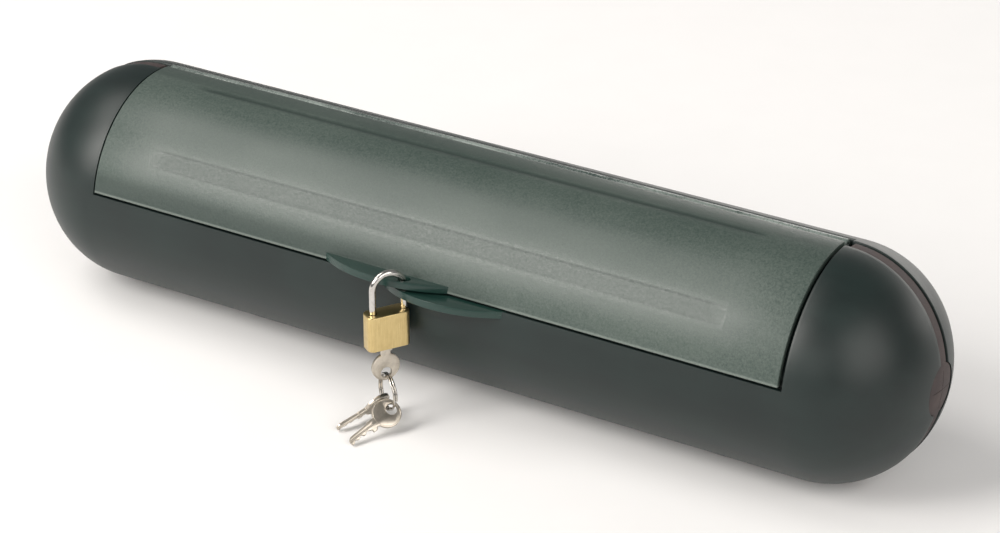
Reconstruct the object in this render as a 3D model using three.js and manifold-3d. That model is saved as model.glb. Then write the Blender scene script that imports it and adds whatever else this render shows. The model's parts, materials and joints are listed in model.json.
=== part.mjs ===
// A lockable bait station: a capsule-shaped case with a long hinged lid, a padlock through two
// lips, rubber seals in the seam and over the end openings, and a tray of bait blocks on rods.
//
// Frame: millimetres, +Z up. The origin is on the flat base rail, below the middle of the case.
// +X runs along the case to its right end, and -Y is the front, where the padlock hangs.
// The seam plane leans back, so the case has a frame of its own inside: the "shell" frame, whose
// X axis is the axis of the capsule, whose Z lies in the seam plane, and whose -Y faces the front.

import * as THREE from 'three';
import { mergeVertices } from 'three/addons/utils/BufferGeometryUtils.js';
import Module from 'manifold-3d';

const wasm = await Module();
wasm.setup();

// ---------------------------------------------------------------- driving dimensions
const GAP = 0.3;                  // air between touching pieces

const RADIUS = 50;                // outer radius of the case
const WALL = 3;                   // wall of the shells and the lid
const STRAIGHT = 170.4;           // half length of the straight part
const DOME = 46.6;                // how far each dome reaches past it
const LEAN = THREE.MathUtils.degToRad(8.9);   // the seam plane leans back
const ROUND = 48;                 // segments around the case
const DOME_STEPS = 8;             // segments along a dome

const SEAM_FRONT = -3.1;          // rim of the front shell
const SEAM_BACK = 4.8;            // rim of the back shell
const SEAL_RECESS = 0.8;          // the seals lie this deep below the surface
const SEAL_DEPTH = 4.7;           // thickness of the seals inwards
const SEAL_ROUND = 24;            // segments around a seal
const ENTRY_RADIUS = 11.3;        // round opening in each end

const LID_LEFT = -165.2;
const LID_RIGHT = 167.3;
const LID_GAP_LEFT = 0.5;
const LID_GAP_RIGHT = 2.0;
const LID_TOP_Y = 1.5;            // top edge of the lid, just behind the seam plane
const LID_FRONT_Z = 2.9;          // underside of the lid's front edge
const LID_GAP_FRONT = 1.0;

const LIP_THICK = 3;
const LIP_UPPER = { middle: -13, half: 30, reach: 10 };
const LIP_LOWER = { middle: 14.5, half: 29, reach: 11.2 };
const LIP_HOLE = { x: -1.6, y: -54.1, radius: 2.75 };

const HINGE_RADIUS = 2.6;
const HINGE_Y = 4.9;
const HINGE_Z = Math.sqrt((RADIUS - HINGE_RADIUS) ** 2 - HINGE_Y ** 2);
const HINGE_RIM_Y = 8.2;          // the back shell's edge beside the hinge
const PIN_RADIUS = 0.9;
const PIN_HOLE = 1.25;
const KNUCKLES = 9;

const SCREW_SHANK = 1.5;
const SCREW_HEAD = 3.1;
const BOSS_RADIUS = 4.6;
const HEAD_SINK = 4.5;            // a screw's seat lies this far below the surface
const SCREW_PLACES = [
  { x: -140, z: -36 }, { x: -50, z: -36 }, { x: 50, z: -36 }, { x: 140, z: -36 },
  { x: -186, z: 22 }, { x: 186, z: 22 },
];

const BASE_HALF_LENGTH = 120;     // the two flat rails that the case stands on
const BASE_FRONT = { near: -15, far: -11.2 };
const BASE_BACK = { near: -2.6, far: 15 };

const TRAY = { halfLength: 120, halfWidth: 21, floor: -28.7, side: 12, end: 22, wall: 2 };
const ROD = { radius: 1.75, y: 10.2, z: -17.1, knob: 4 };
const BLOCK = { length: 46, width: 16, height: 18, x: 60, bore: 2.6 };

const LOCK_TWIST = THREE.MathUtils.degToRad(57);
const SHACKLE = { radius: 1.45, spread: 7.1, arch: 10.5, heel: 10, toe: 8 };
const LOCK = { width: 19, height: 16, thick: 8.4, corner: 2.6, middle: -1.0, top: 51.3 };
const PLUG = { radius: 2.7, bore: 2.95, x: -1.8, top: -4.5 };
const KEY = { bow: 6.3, hole: 2.5, web: 1.1, thick: 1.5, blade: 3.4, reach: 20.6 };
const RING_WIRE = 0.5;
const WIRE_SLACK = 1.0;           // the wire hangs this far off the middle of an eye

// ---------------------------------------------------------------- small tools
const vec = (x, y, z) => new THREE.Vector3(x, y, z);

// A closed geometry as a solid that can be joined and cut.
function solid(geometry) {
  const bare = geometry.index ? geometry.toNonIndexed() : geometry.clone();
  for (const name of Object.keys(bare.attributes)) {
    if (name !== 'position') bare.deleteAttribute(name);
  }
  const merged = mergeVertices(bare, 1e-4);
  return new wasm.Manifold(new wasm.Mesh({
    numProp: 3,
    vertProperties: new Float32Array(merged.attributes.position.array),
    triVerts: new Uint32Array(merged.index.array),
  }));
}

// A solid as a geometry again.
function geometryOf(shape) {
  const mesh = shape.getMesh();
  const geometry = new THREE.BufferGeometry();
  const points = new Float32Array(mesh.numVert * 3);
  for (let i = 0; i < mesh.numVert; i += 1) {
    for (let k = 0; k < 3; k += 1) points[3 * i + k] = mesh.vertProperties[mesh.numProp * i + k];
  }
  geometry.setAttribute('position', new THREE.BufferAttribute(points, 3));
  geometry.setIndex(new THREE.BufferAttribute(new Uint32Array(mesh.triVerts), 1));
  geometry.computeVertexNormals();
  return geometry;
}

const join = (first, ...rest) => rest.reduce((sum, next) => sum.add(next), first);
const cut = (first, ...rest) => rest.reduce((sum, next) => sum.subtract(next), first);

// A box between two corners.
function box(low, high) {
  const size = high.clone().sub(low);
  const middle = high.clone().add(low).multiplyScalar(0.5);
  return solid(new THREE.BoxGeometry(size.x, size.y, size.z).translate(middle.x, middle.y, middle.z));
}

// A round bar between two points.
function bar(from, to, radius, segments = 20) {
  const along = to.clone().sub(from);
  const middle = to.clone().add(from).multiplyScalar(0.5);
  const geometry = new THREE.CylinderGeometry(radius, radius, along.length(), segments);
  geometry.applyQuaternion(new THREE.Quaternion().setFromUnitVectors(vec(0, 1, 0), along.normalize()));
  return solid(geometry.translate(middle.x, middle.y, middle.z));
}

// The capsule, grown by an offset.
function capsule(offset, around = ROUND) {
  const profile = [];
  for (let i = 0; i <= DOME_STEPS; i += 1) {
    const angle = (i / DOME_STEPS) * Math.PI / 2;
    profile.push(new THREE.Vector2(
      Math.sin(angle) * (RADIUS + offset), -STRAIGHT - Math.cos(angle) * (DOME + offset),
    ));
  }
  const mirrored = profile.map((point) => new THREE.Vector2(point.x, -point.y)).reverse();
  const outline = [...profile, ...mirrored];
  outline[0].x = 0;
  outline[outline.length - 1].x = 0;
  return solid(new THREE.LatheGeometry(outline, around).rotateZ(-Math.PI / 2));
}

// A tube around the capsule's axis between two x places.
function tube(outer, inner, left, right) {
  const outside = bar(vec(left, 0, 0), vec(right, 0, 0), outer, ROUND);
  return outside.subtract(bar(vec(left - 1, 0, 0), vec(right + 1, 0, 0), inner, ROUND));
}

// A half-moon lip: a flat plate whose rim is one arc, standing out of the case at y = -RADIUS.
function lip({ middle, half, reach }, low) {
  const radius = (half ** 2 + reach ** 2) / (2 * reach);
  const swing = Math.asin(half / radius);
  const shape = new THREE.Shape();
  shape.moveTo(middle - half, 2);
  for (let i = 0; i <= 24; i += 1) {
    const angle = -swing + (2 * swing * i) / 24;
    shape.lineTo(middle + radius * Math.sin(angle), (radius - reach) - radius * Math.cos(angle));
  }
  shape.lineTo(middle + half, 2);
  const plate = new THREE.ExtrudeGeometry(shape, { depth: LIP_THICK, bevelEnabled: false });
  return solid(plate.translate(0, -RADIUS + 0.2, low));
}

// Turns a shape given in the part's own frame into the leaning shell frame.
function intoShellFrame(shape) {
  const turn = new THREE.Matrix4().makeRotationX(LEAN);
  turn.multiply(new THREE.Matrix4().makeTranslation(0, 0, -RADIUS));
  return solid(geometryOf(shape).applyMatrix4(turn));
}

function material(colour, roughness, metalness = 0) {
  return new THREE.MeshStandardMaterial({ color: colour, roughness, metalness });
}

const PLASTIC = material(0x3f4c48, 0.55);
const LID_PLASTIC = material(0x55635e, 0.6);
const RUBBER = material(0x3a2f2c, 0.8);
const BRASS = material(0xcdb06a, 0.35, 1);
const CHROME = material(0xc9c9c9, 0.15, 1);
const STEEL = material(0x9a9a98, 0.35, 1);
const NICKEL = material(0xb3aca0, 0.3, 1);
const TRAY_PLASTIC = material(0x22262a, 0.5);
const BAIT = material(0x3f7f8a, 0.9);

const assembly = new THREE.Group();
const shellFrame = new THREE.Group();
shellFrame.position.set(0, 0, RADIUS);
shellFrame.rotation.x = -LEAN;
assembly.add(shellFrame);

function addPiece(parent, name, shape, look) {
  const geometry = shape.isBufferGeometry ? shape : geometryOf(shape);
  const mesh = new THREE.Mesh(geometry, look);
  mesh.name = name;
  parent.add(mesh);
  return mesh;
}

// ---------------------------------------------------------------- the case
const FAR = 400;
const outer = capsule(0);
const inner = capsule(-WALL);
const hollow = outer.subtract(inner);
const openLeft = LID_LEFT - LID_GAP_LEFT;
const openRight = LID_RIGHT + LID_GAP_RIGHT;
const openFront = LID_FRONT_Z - LID_GAP_FRONT;
const entryBore = bar(vec(-FAR, 0, 0), vec(FAR, 0, 0), ENTRY_RADIUS, 24);
const lipBore = bar(vec(LIP_HOLE.x, LIP_HOLE.y, -6), vec(LIP_HOLE.x, LIP_HOLE.y, 12), LIP_HOLE.radius, 20);

// Two flat rails under the case, one moulded to each shell.
function baseRail({ near, far }) {
  const rail = box(vec(-BASE_HALF_LENGTH, near, 0), vec(BASE_HALF_LENGTH, far, 5));
  return intoShellFrame(rail).subtract(inner);
}

// Ribs that carry the bait tray.
function cradle(near, far) {
  const ribs = [-100, 100].map((x) => intoShellFrame(
    box(vec(x - 1.5, near, 1.5), vec(x + 1.5, far, RADIUS + TRAY.floor - GAP)),
  ).intersect(outer));
  return join(...ribs);
}

// Where a screw at x, z meets the inside and the outside of the back wall.
function wallAt(place, offset) {
  const past = Math.max(0, Math.abs(place.x) - STRAIGHT) / (DOME + offset);
  const round = (1 - past ** 2) * (RADIUS + offset) ** 2;
  return Math.sqrt(round - place.z ** 2);
}

function backBoss(place) {
  const start = vec(place.x, 0.25, place.z);
  return bar(start, vec(place.x, wallAt(place, -1.5), place.z), BOSS_RADIUS, 20).intersect(outer);
}

function backBossHole(place) {
  const surface = wallAt(place, 0);
  const through = bar(vec(place.x, -1, place.z), vec(place.x, surface + 2, place.z), SCREW_SHANK + GAP, 16);
  const head = bar(vec(place.x, surface - HEAD_SINK, place.z), vec(place.x, surface + 8, place.z),
    SCREW_HEAD + GAP, 20);
  return through.add(head);
}

function frontBoss(place) {
  const reach = wallAt(place, -1.5);
  const post = bar(vec(place.x, -0.1, place.z), vec(place.x, -reach, place.z), BOSS_RADIUS - 0.6, 20);
  const pilot = bar(vec(place.x, 1, place.z), vec(place.x, -14, place.z), SCREW_SHANK + GAP, 16);
  return post.intersect(outer).subtract(pilot);
}

const knuckleStep = (LID_RIGHT - LID_LEFT) / KNUCKLES;
const knuckleSpan = (index) => ({
  left: LID_LEFT + index * knuckleStep + 0.25,
  right: LID_LEFT + (index + 1) * knuckleStep - 0.25,
});
const pinBore = bar(vec(LID_LEFT - 3, HINGE_Y, HINGE_Z), vec(LID_RIGHT + 3, HINGE_Y, HINGE_Z), PIN_HOLE, 14);

// One hinge knuckle, with the web that ties it to the lid (front) or the back shell (behind).
function knuckle(index, webFar, webLow, webHigh) {
  const { left, right } = knuckleSpan(index);
  const barrel = bar(vec(left, HINGE_Y, HINGE_Z), vec(right, HINGE_Y, HINGE_Z), HINGE_RADIUS, 20);
  const [near, far] = [Math.min(HINGE_Y, webFar), Math.max(HINGE_Y, webFar)];
  const web = box(vec(left, near, webLow), vec(right, far, webHigh));
  return barrel.add(web);
}

const knuckles = [...Array(KNUCKLES).keys()];
const shellKnuckles = knuckles.filter((index) => index % 2 === 0);
const lidKnuckles = knuckles.filter((index) => index % 2 === 1);

function backShell() {
  const half = box(vec(-FAR, SEAM_BACK, -FAR), vec(FAR, FAR, FAR));
  const hingeRecess = box(vec(openLeft, 0, 40), vec(openRight, HINGE_RIM_Y, 60));
  let body = hollow.intersect(half).subtract(hingeRecess);
  body = join(body, baseRail(BASE_BACK), cradle(2, 26), ...SCREW_PLACES.map(backBoss));
  const leafLow = HINGE_Z - HINGE_RADIUS;
  body = join(body, ...shellKnuckles.map((index) => knuckle(index, 10, leafLow, HINGE_Z - 0.3)));
  return cut(body, entryBore, pinBore, ...SCREW_PLACES.map(backBossHole));
}

// The step inside the lid opening that the lid closes over.
function lidLedge() {
  const ring = tube(RADIUS - 3.6, RADIUS - 6.6, openLeft - 6, openRight + 6);
  const root = tube(RADIUS - 2.8, RADIUS - 6.6, openLeft - 6, openRight + 6);
  const frontHalf = box(vec(-FAR, -FAR, -7), vec(FAR, SEAM_FRONT - 0.4, FAR));
  const opening = box(vec(openLeft + 4, -FAR, 8), vec(openRight - 4, FAR, FAR));
  const besideLid = [
    box(vec(-FAR, -FAR, -FAR), vec(openLeft, FAR, FAR)),
    box(vec(openRight, -FAR, -FAR), vec(FAR, FAR, FAR)),
    box(vec(-FAR, -FAR, -FAR), vec(FAR, FAR, openFront)),
  ];
  const step = ring.intersect(frontHalf).subtract(opening);
  const foot = root.intersect(frontHalf).subtract(opening).intersect(join(...besideLid));
  return step.add(foot);
}

function frontShell() {
  const half = box(vec(-FAR, -FAR, -FAR), vec(FAR, SEAM_FRONT, FAR));
  const opening = box(vec(openLeft, -FAR, openFront), vec(openRight, FAR, FAR));
  let body = hollow.intersect(half).subtract(opening);
  body = join(body, lidLedge(), lip(LIP_LOWER, openFront - LIP_THICK), baseRail(BASE_FRONT));
  body = join(body, cradle(-26, -12), ...SCREW_PLACES.map(frontBoss));
  return cut(body, entryBore, lipBore);
}

function lid() {
  const panel = tube(RADIUS, RADIUS - WALL, LID_LEFT, LID_RIGHT)
    .intersect(box(vec(-FAR, -FAR, LID_FRONT_Z), vec(FAR, LID_TOP_Y, FAR)));
  const webs = lidKnuckles.map((index) => knuckle(index, 0.2, HINGE_Z - 0.4, HINGE_Z + 2.1));
  return cut(join(panel, lip(LIP_UPPER, LID_FRONT_Z), ...webs), lipBore, pinBore);
}

// Rubber in the seam: a band just below the surface of the capsule.
function seamBand(left, right) {
  const band = capsule(-SEAL_RECESS, SEAL_ROUND).subtract(capsule(-SEAL_RECESS - SEAL_DEPTH, SEAL_ROUND));
  return band.intersect(box(vec(left, SEAM_FRONT + GAP, -FAR), vec(right, SEAM_BACK - GAP, FAR)));
}

// The band over one end, with the round membrane that fills the entry.
function endSeal(side) {
  const start = side > 0 ? openRight + 2 : -openLeft + 2;
  const low = side > 0 ? start : -FAR;
  const high = side > 0 ? FAR : -start;
  const skin = capsule(-SEAL_RECESS, SEAL_ROUND).subtract(capsule(-SEAL_RECESS - 2.4, SEAL_ROUND));
  const mouth = bar(vec(side * STRAIGHT, 0, 0), vec(side * FAR, 0, 0), ENTRY_RADIUS - GAP, SEAL_ROUND);
  const slitHalf = 0.4;
  const slits = [
    box(vec(-FAR, -slitHalf, -8), vec(FAR, slitHalf, 8)),
    box(vec(-FAR, -8, -slitHalf), vec(FAR, 8, slitHalf)),
  ];
  return cut(seamBand(low, high).add(skin.intersect(mouth)), ...slits);
}

function bottomGasket() {
  const strip = seamBand(openLeft - 1.5, openRight + 1.5);
  return strip.intersect(box(vec(-FAR, -FAR, -FAR), vec(FAR, FAR, 0)));
}

function lidGasket() {
  const ring = tube(RADIUS - WALL - GAP, RADIUS - WALL - 3.2, LID_LEFT + 6, LID_RIGHT - 6);
  return ring.intersect(box(vec(-FAR, -FAR, 9), vec(FAR, 0, 12)));
}

function caseScrew(place) {
  const surface = wallAt(place, 0);
  const seat = surface - HEAD_SINK + GAP;
  const profile = [[0, -12], [SCREW_SHANK * 0.5, -12], [SCREW_SHANK, -10.5], [SCREW_SHANK, seat],
    [SCREW_HEAD, seat], [SCREW_HEAD, seat + 1.6], [SCREW_HEAD - 0.5, seat + 2.1], [0, seat + 2.3]]
    .map(([radius, along]) => new THREE.Vector2(radius, along));
  const turned = solid(new THREE.LatheGeometry(profile, 14));
  const slot = [0, Math.PI / 2].map((angle) => solid(
    new THREE.BoxGeometry(3.4, 2.4, 0.8).rotateY(angle).translate(0, seat + 2.2, 0),
  ));
  return solid(geometryOf(cut(turned, ...slot)).translate(place.x, 0, place.z));
}

addPiece(shellFrame, 'back_shell', backShell(), PLASTIC);
addPiece(shellFrame, 'front_shell', frontShell(), PLASTIC);
addPiece(shellFrame, 'lid', lid(), LID_PLASTIC);
addPiece(shellFrame, 'hinge_pin',
  bar(vec(LID_LEFT + 1, HINGE_Y, HINGE_Z), vec(LID_RIGHT - 1, HINGE_Y, HINGE_Z), PIN_RADIUS, 12), STEEL);
addPiece(shellFrame, 'left_end_seal', endSeal(-1), RUBBER);
addPiece(shellFrame, 'right_end_seal', endSeal(1), RUBBER);
addPiece(shellFrame, 'bottom_gasket', bottomGasket(), RUBBER);
addPiece(shellFrame, 'lid_gasket', lidGasket(), RUBBER);
SCREW_PLACES.forEach((place, index) => {
  addPiece(shellFrame, `case_screw_${index + 1}`, caseScrew(place), STEEL);
});

// ---------------------------------------------------------------- the bait inside
const inside = new THREE.Group();
inside.position.set(0, 0, RADIUS);
assembly.add(inside);

function baitTray() {
  const { halfLength, halfWidth, floor, side, end, wall } = TRAY;
  const trough = box(vec(-halfLength, -halfWidth, floor), vec(halfLength, halfWidth, floor + side))
    .subtract(box(vec(-halfLength + wall, -halfWidth + wall, floor + wall),
      vec(halfLength - wall, halfWidth - wall, floor + side + 1)));
  const walls = [-halfLength, -wall / 2, halfLength - wall].map((x) => (
    box(vec(x, -halfWidth + 1, floor + 1), vec(x + wall, halfWidth - 1, floor + end))
  ));
  const bores = [-ROD.y, ROD.y].map((y) => (
    bar(vec(-FAR, y, ROD.z), vec(FAR, y, ROD.z), ROD.radius + 0.4, 16)
  ));
  return cut(join(trough, ...walls), ...bores);
}

function baitRod(y) {
  const shaft = bar(vec(-TRAY.halfLength - 3, y, ROD.z), vec(TRAY.halfLength + 5, y, ROD.z), ROD.radius, 14);
  const knobEnds = [-TRAY.halfLength - 3.6, -TRAY.halfLength - GAP].map((x) => vec(x, y, ROD.z));
  const knob = bar(...knobEnds, ROD.knob, 18);
  return shaft.add(knob);
}

function baitBlock(x, y) {
  const low = TRAY.floor + TRAY.wall + GAP;
  const outline = new THREE.Shape();
  const half = BLOCK.width / 2;
  const notch = 1.2;
  outline.moveTo(-half, notch);
  outline.lineTo(-half + notch, 0);
  outline.lineTo(half - notch, 0);
  outline.lineTo(half, notch);
  outline.lineTo(half, BLOCK.height - notch);
  outline.lineTo(half - notch, BLOCK.height);
  outline.lineTo(-half + notch, BLOCK.height);
  outline.lineTo(-half, BLOCK.height - notch);
  outline.closePath();
  const prism = new THREE.ExtrudeGeometry(outline, { depth: BLOCK.length, bevelEnabled: false });
  prism.rotateX(Math.PI / 2).rotateZ(Math.PI / 2).translate(x - BLOCK.length / 2, y, low);
  return solid(prism).subtract(bar(vec(-FAR, y, ROD.z), vec(FAR, y, ROD.z), BLOCK.bore, 16));
}

addPiece(inside, 'bait_tray', baitTray(), TRAY_PLASTIC);
addPiece(inside, 'front_bait_rod', baitRod(-ROD.y), STEEL);
addPiece(inside, 'rear_bait_rod', baitRod(ROD.y), STEEL);
[['front', -ROD.y], ['rear', ROD.y]].forEach(([row, y]) => {
  addPiece(inside, `${row}_bait_block_left`, baitBlock(-BLOCK.x, y), BAIT);
  addPiece(inside, `${row}_bait_block_right`, baitBlock(BLOCK.x, y), BAIT);
});

// ---------------------------------------------------------------- the padlock
// The lock frame: origin midway between the shackle legs at the top of the body, X from the outer
// leg to the inner one, which passes through the lips. It hangs straight down.
const lipHole = vec(LIP_HOLE.x, LIP_HOLE.y, openFront + LID_GAP_FRONT / 2).applyEuler(shellFrame.rotation);
const legsApart = vec(Math.cos(LOCK_TWIST), Math.sin(LOCK_TWIST), 0);
const lockFrame = new THREE.Group();
lockFrame.position.copy(lipHole).addScaledVector(legsApart, -SHACKLE.spread).setZ(LOCK.top);
lockFrame.rotation.z = LOCK_TWIST;
assembly.add(lockFrame);

class ShacklePath extends THREE.Curve {
  getPoint(t) {
    const { spread, arch, heel, toe } = SHACKLE;
    const bend = Math.PI * spread;
    const reach = t * (heel + arch + bend + arch + toe);
    if (reach < heel + arch) return vec(-spread, 0, reach - heel);
    if (reach < heel + arch + bend) {
      const angle = (reach - heel - arch) / spread;
      return vec(-spread * Math.cos(angle), 0, arch + spread * Math.sin(angle));
    }
    return vec(spread, 0, arch - (reach - heel - arch - bend));
  }
}

function shackle() {
  const section = new THREE.Shape().absarc(0, 0, SHACKLE.radius, 0, 2 * Math.PI);
  const bow = solid(new THREE.ExtrudeGeometry(section, {
    steps: 44, curveSegments: 5, bevelEnabled: false, extrudePath: new ShacklePath(),
  }));
  const notch = box(vec(SHACKLE.spread - 2, -2, -6.4), vec(SHACKLE.spread - 0.6, 2, -2.0));
  return bow.subtract(notch);
}

function lockBody() {
  const { width, height, thick, corner, middle } = LOCK;
  const outline = new THREE.Shape();
  const w = width / 2;
  const t = thick / 2;
  outline.moveTo(-w + corner, -t);
  outline.lineTo(w - corner, -t);
  outline.absarc(w - corner, -t + corner, corner, -Math.PI / 2, 0, false);
  outline.lineTo(w, t - corner);
  outline.absarc(w - corner, t - corner, corner, 0, Math.PI / 2, false);
  outline.lineTo(-w + corner, t);
  outline.absarc(-w + corner, t - corner, corner, Math.PI / 2, Math.PI, false);
  outline.lineTo(-w, -t + corner);
  outline.absarc(-w + corner, -t + corner, corner, Math.PI, 1.5 * Math.PI, false);
  const block = solid(new THREE.ExtrudeGeometry(outline, {
    depth: height, curveSegments: 5, bevelEnabled: false,
  }).translate(middle, 0, -height));
  const legBore = (x, depth) => bar(vec(x, 0, -depth), vec(x, 0, 1), SHACKLE.radius + 0.3, 18);
  const plugBore = bar(vec(PLUG.x, 0, -height - 1), vec(PLUG.x, 0, PLUG.top + GAP), PLUG.bore, 20);
  const latchWay = box(vec(-2.6, -1.4, -4.5), vec(SHACKLE.spread, 1.4, -1.9));
  const legBores = [legBore(-SHACKLE.spread, 14), legBore(SHACKLE.spread, SHACKLE.toe + 0.8)];
  return cut(block, ...legBores, plugBore, latchWay);
}

function lockPlug() {
  const low = -LOCK.height + GAP;
  const core = bar(vec(PLUG.x, 0, low), vec(PLUG.x, 0, PLUG.top), PLUG.radius, 20);
  const keyway = box(vec(PLUG.x - 2.05, -1.1, low - 1), vec(PLUG.x + 2.05, 1.1, PLUG.top + 1));
  const bridge = bar(vec(PLUG.x, 0, PLUG.top - 0.6), vec(PLUG.x, 0, PLUG.top), PLUG.radius, 20);
  return core.subtract(keyway).add(bridge);
}

class CoilPath extends THREE.Curve {
  constructor(radius, pitch, turns, start) {
    super();
    Object.assign(this, { radius, pitch, turns, start });
  }

  getPoint(t) {
    const angle = 2 * Math.PI * this.turns * t;
    const height = this.start + this.pitch * this.turns * t;
    return vec(this.radius * Math.cos(angle), this.radius * Math.sin(angle), height);
  }
}

function coil(radius, wire, pitch, turns, start, stepsPerTurn, sides) {
  const section = new THREE.Shape().absarc(0, 0, wire, 0, 2 * Math.PI);
  return new THREE.ExtrudeGeometry(section, {
    steps: Math.round(turns * stepsPerTurn), curveSegments: sides, bevelEnabled: false,
    extrudePath: new CoilPath(radius, pitch, turns, start),
  });
}

// A flat key with its bow centred on the origin and its blade pointing along +Y.
function keyPlate() {
  const { bow, hole, web, thick, blade, reach } = KEY;
  const neck = 2.1;
  const shoulder = 3.0;
  const half = blade / 2;
  const start = Math.asin(neck / bow);
  const outline = new THREE.Shape();
  for (let i = 0; i <= 28; i += 1) {
    const angle = Math.PI / 2 + start + ((2 * Math.PI - 2 * start) * i) / 28;
    outline.lineTo(bow * Math.cos(angle), bow * Math.sin(angle));
  }
  outline.lineTo(neck, 7.2);
  outline.lineTo(shoulder, 7.6);
  outline.lineTo(shoulder, 9.6);
  outline.lineTo(half, 9.6);
  const bits = [[10.6, 0], [11.4, 0.9], [12.2, 0.9], [13.0, 0.2], [13.8, 0.2], [14.6, 1.1], [15.4, 1.1],
    [16.2, 0.4], [17.0, 0.4], [17.8, 0.9], [18.6, 0.9], [19.4, 0.1]];
  bits.forEach(([along, depth]) => outline.lineTo(half - depth, along));
  outline.lineTo(0.5, reach);
  outline.lineTo(-0.5, reach);
  outline.lineTo(-half, reach - 1.4);
  outline.lineTo(-half, 9.6);
  outline.lineTo(-neck, 9.6);
  outline.closePath();
  const eye = new THREE.Path().absarc(0, -(bow - web - hole), hole, 0, 2 * Math.PI, true);
  outline.holes.push(eye);
  const plate = new THREE.ExtrudeGeometry(outline, { depth: thick, curveSegments: 9, bevelEnabled: false });
  return plate.translate(0, 0, -thick / 2);
}

addPiece(lockFrame, 'lock_shackle', shackle(), CHROME);
addPiece(lockFrame, 'lock_body', lockBody(), BRASS);
addPiece(lockFrame, 'lock_plug', lockPlug(), BRASS);
addPiece(lockFrame, 'lock_latch', box(vec(1.2, -1.0, -3.8), vec(6.2, 1.0, -2.3)), STEEL);
const shackleSpring = coil(0.95, 0.22, 0.72, 3.8, -13.6, 9, 3);
shackleSpring.translate(-SHACKLE.spread, 0, 0);
addPiece(lockFrame, 'shackle_spring', shackleSpring, STEEL);

// ---------------------------------------------------------------- the keys on their ring
// The key in the lock stands upright under the plug, bow down.
const BOW_DROP = LOCK.height + 0.5 + 9.6;
const lockKey = addPiece(lockFrame, 'lock_key', keyPlate(), NICKEL);
lockKey.position.set(PLUG.x, 0, -BOW_DROP);
lockKey.rotation.x = Math.PI / 2;
assembly.updateMatrixWorld(true);

const eyeDrop = KEY.bow - KEY.web - KEY.hole;
const topWire = lockKey.localToWorld(vec(0, -eyeDrop - WIRE_SLACK, 0));

// Each loose key: where its bow is, and where its tip rests.
const LOOSE = {
  loose_key_a: { bow: vec(-1.3, -68.5, 7.8), tip: vec(-7.7, -87.8, 1.1) },
  loose_key_b: { bow: vec(-10.2, -62.3, 6.6), tip: vec(-18.5, -80.7, 1.4) },
};
const alongKey = ({ bow, tip }) => tip.clone().sub(bow).normalize();
const wireIn = (place) => place.bow.clone().addScaledVector(alongKey(place), -eyeDrop - WIRE_SLACK);

// The circle through three points: the line of the ring's wire.
function circleThrough(a, b, c) {
  const ab = b.clone().sub(a);
  const ac = c.clone().sub(a);
  const normal = ab.clone().cross(ac);
  const size = normal.lengthSq();
  const centre = normal.clone().cross(ab).multiplyScalar(ac.lengthSq())
    .add(ac.clone().cross(normal).multiplyScalar(ab.lengthSq()))
    .multiplyScalar(1 / (2 * size)).add(a);
  return { centre, radius: centre.distanceTo(a), normal: normal.normalize() };
}

const loop = circleThrough(topWire, wireIn(LOOSE.loose_key_a), wireIn(LOOSE.loose_key_b));
const RING_PITCH = 2 * RING_WIRE + 0.12;
const ringCoil = coil(loop.radius, RING_WIRE, RING_PITCH, 1.92, -RING_PITCH * 0.96, 36, 4);
const ring = addPiece(assembly, 'split_ring', ringCoil, STEEL);
ring.position.copy(loop.centre);
const towardTop = topWire.clone().sub(loop.centre).normalize();
const ringBasis = new THREE.Matrix4().makeBasis(towardTop, loop.normal.clone().cross(towardTop), loop.normal);
ring.rotation.setFromRotationMatrix(ringBasis.multiply(new THREE.Matrix4().makeRotationZ(2.4)));

// A loose key's flat side faces along the wire where the wire passes through its eye.
for (const [name, place] of Object.entries(LOOSE)) {
  const key = addPiece(assembly, name, keyPlate(), NICKEL);
  const blade = alongKey(place);
  const outward = wireIn(place).sub(loop.centre).normalize();
  const wire = loop.normal.clone().cross(outward);
  const flat = wire.addScaledVector(blade, -wire.dot(blade)).normalize();
  key.position.copy(place.bow);
  key.rotation.setFromRotationMatrix(new THREE.Matrix4().makeBasis(blade.clone().cross(flat), blade, flat));
}

export default assembly;
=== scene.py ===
"""The bait station finished for looks: case, lid, seals, hinge, bait, padlock and keys."""
import json
import logging
import math
from contextlib import contextmanager
from dataclasses import dataclass, field
from enum import Enum
from typing import Callable, Iterator

import bmesh
import bpy
from mathutils import Matrix, Vector

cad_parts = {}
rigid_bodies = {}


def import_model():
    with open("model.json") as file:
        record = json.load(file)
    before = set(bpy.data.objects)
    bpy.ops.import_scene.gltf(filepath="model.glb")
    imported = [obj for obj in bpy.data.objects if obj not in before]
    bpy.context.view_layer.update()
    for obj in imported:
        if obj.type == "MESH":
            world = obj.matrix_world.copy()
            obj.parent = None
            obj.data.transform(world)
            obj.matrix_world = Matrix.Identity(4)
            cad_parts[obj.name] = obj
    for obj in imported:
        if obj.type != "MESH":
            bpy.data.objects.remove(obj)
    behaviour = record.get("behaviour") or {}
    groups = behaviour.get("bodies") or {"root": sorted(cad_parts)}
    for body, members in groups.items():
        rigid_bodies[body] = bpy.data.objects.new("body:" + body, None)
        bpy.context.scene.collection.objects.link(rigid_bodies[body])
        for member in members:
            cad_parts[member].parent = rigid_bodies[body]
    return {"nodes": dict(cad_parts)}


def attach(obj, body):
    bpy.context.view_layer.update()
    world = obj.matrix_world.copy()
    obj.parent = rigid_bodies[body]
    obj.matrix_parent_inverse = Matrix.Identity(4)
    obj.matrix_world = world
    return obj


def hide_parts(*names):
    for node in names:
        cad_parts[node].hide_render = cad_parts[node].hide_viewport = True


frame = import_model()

LOG = logging.getLogger("bait_station")
MM = 0.001
FAR = 2.0  # a limit this far out, in metres, cuts nothing
UP_TO = 1.0  # limits nearer than this do cut
SIDEWAYS = 0.9  # the least share of a face's normal along an axis that it faces


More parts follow.
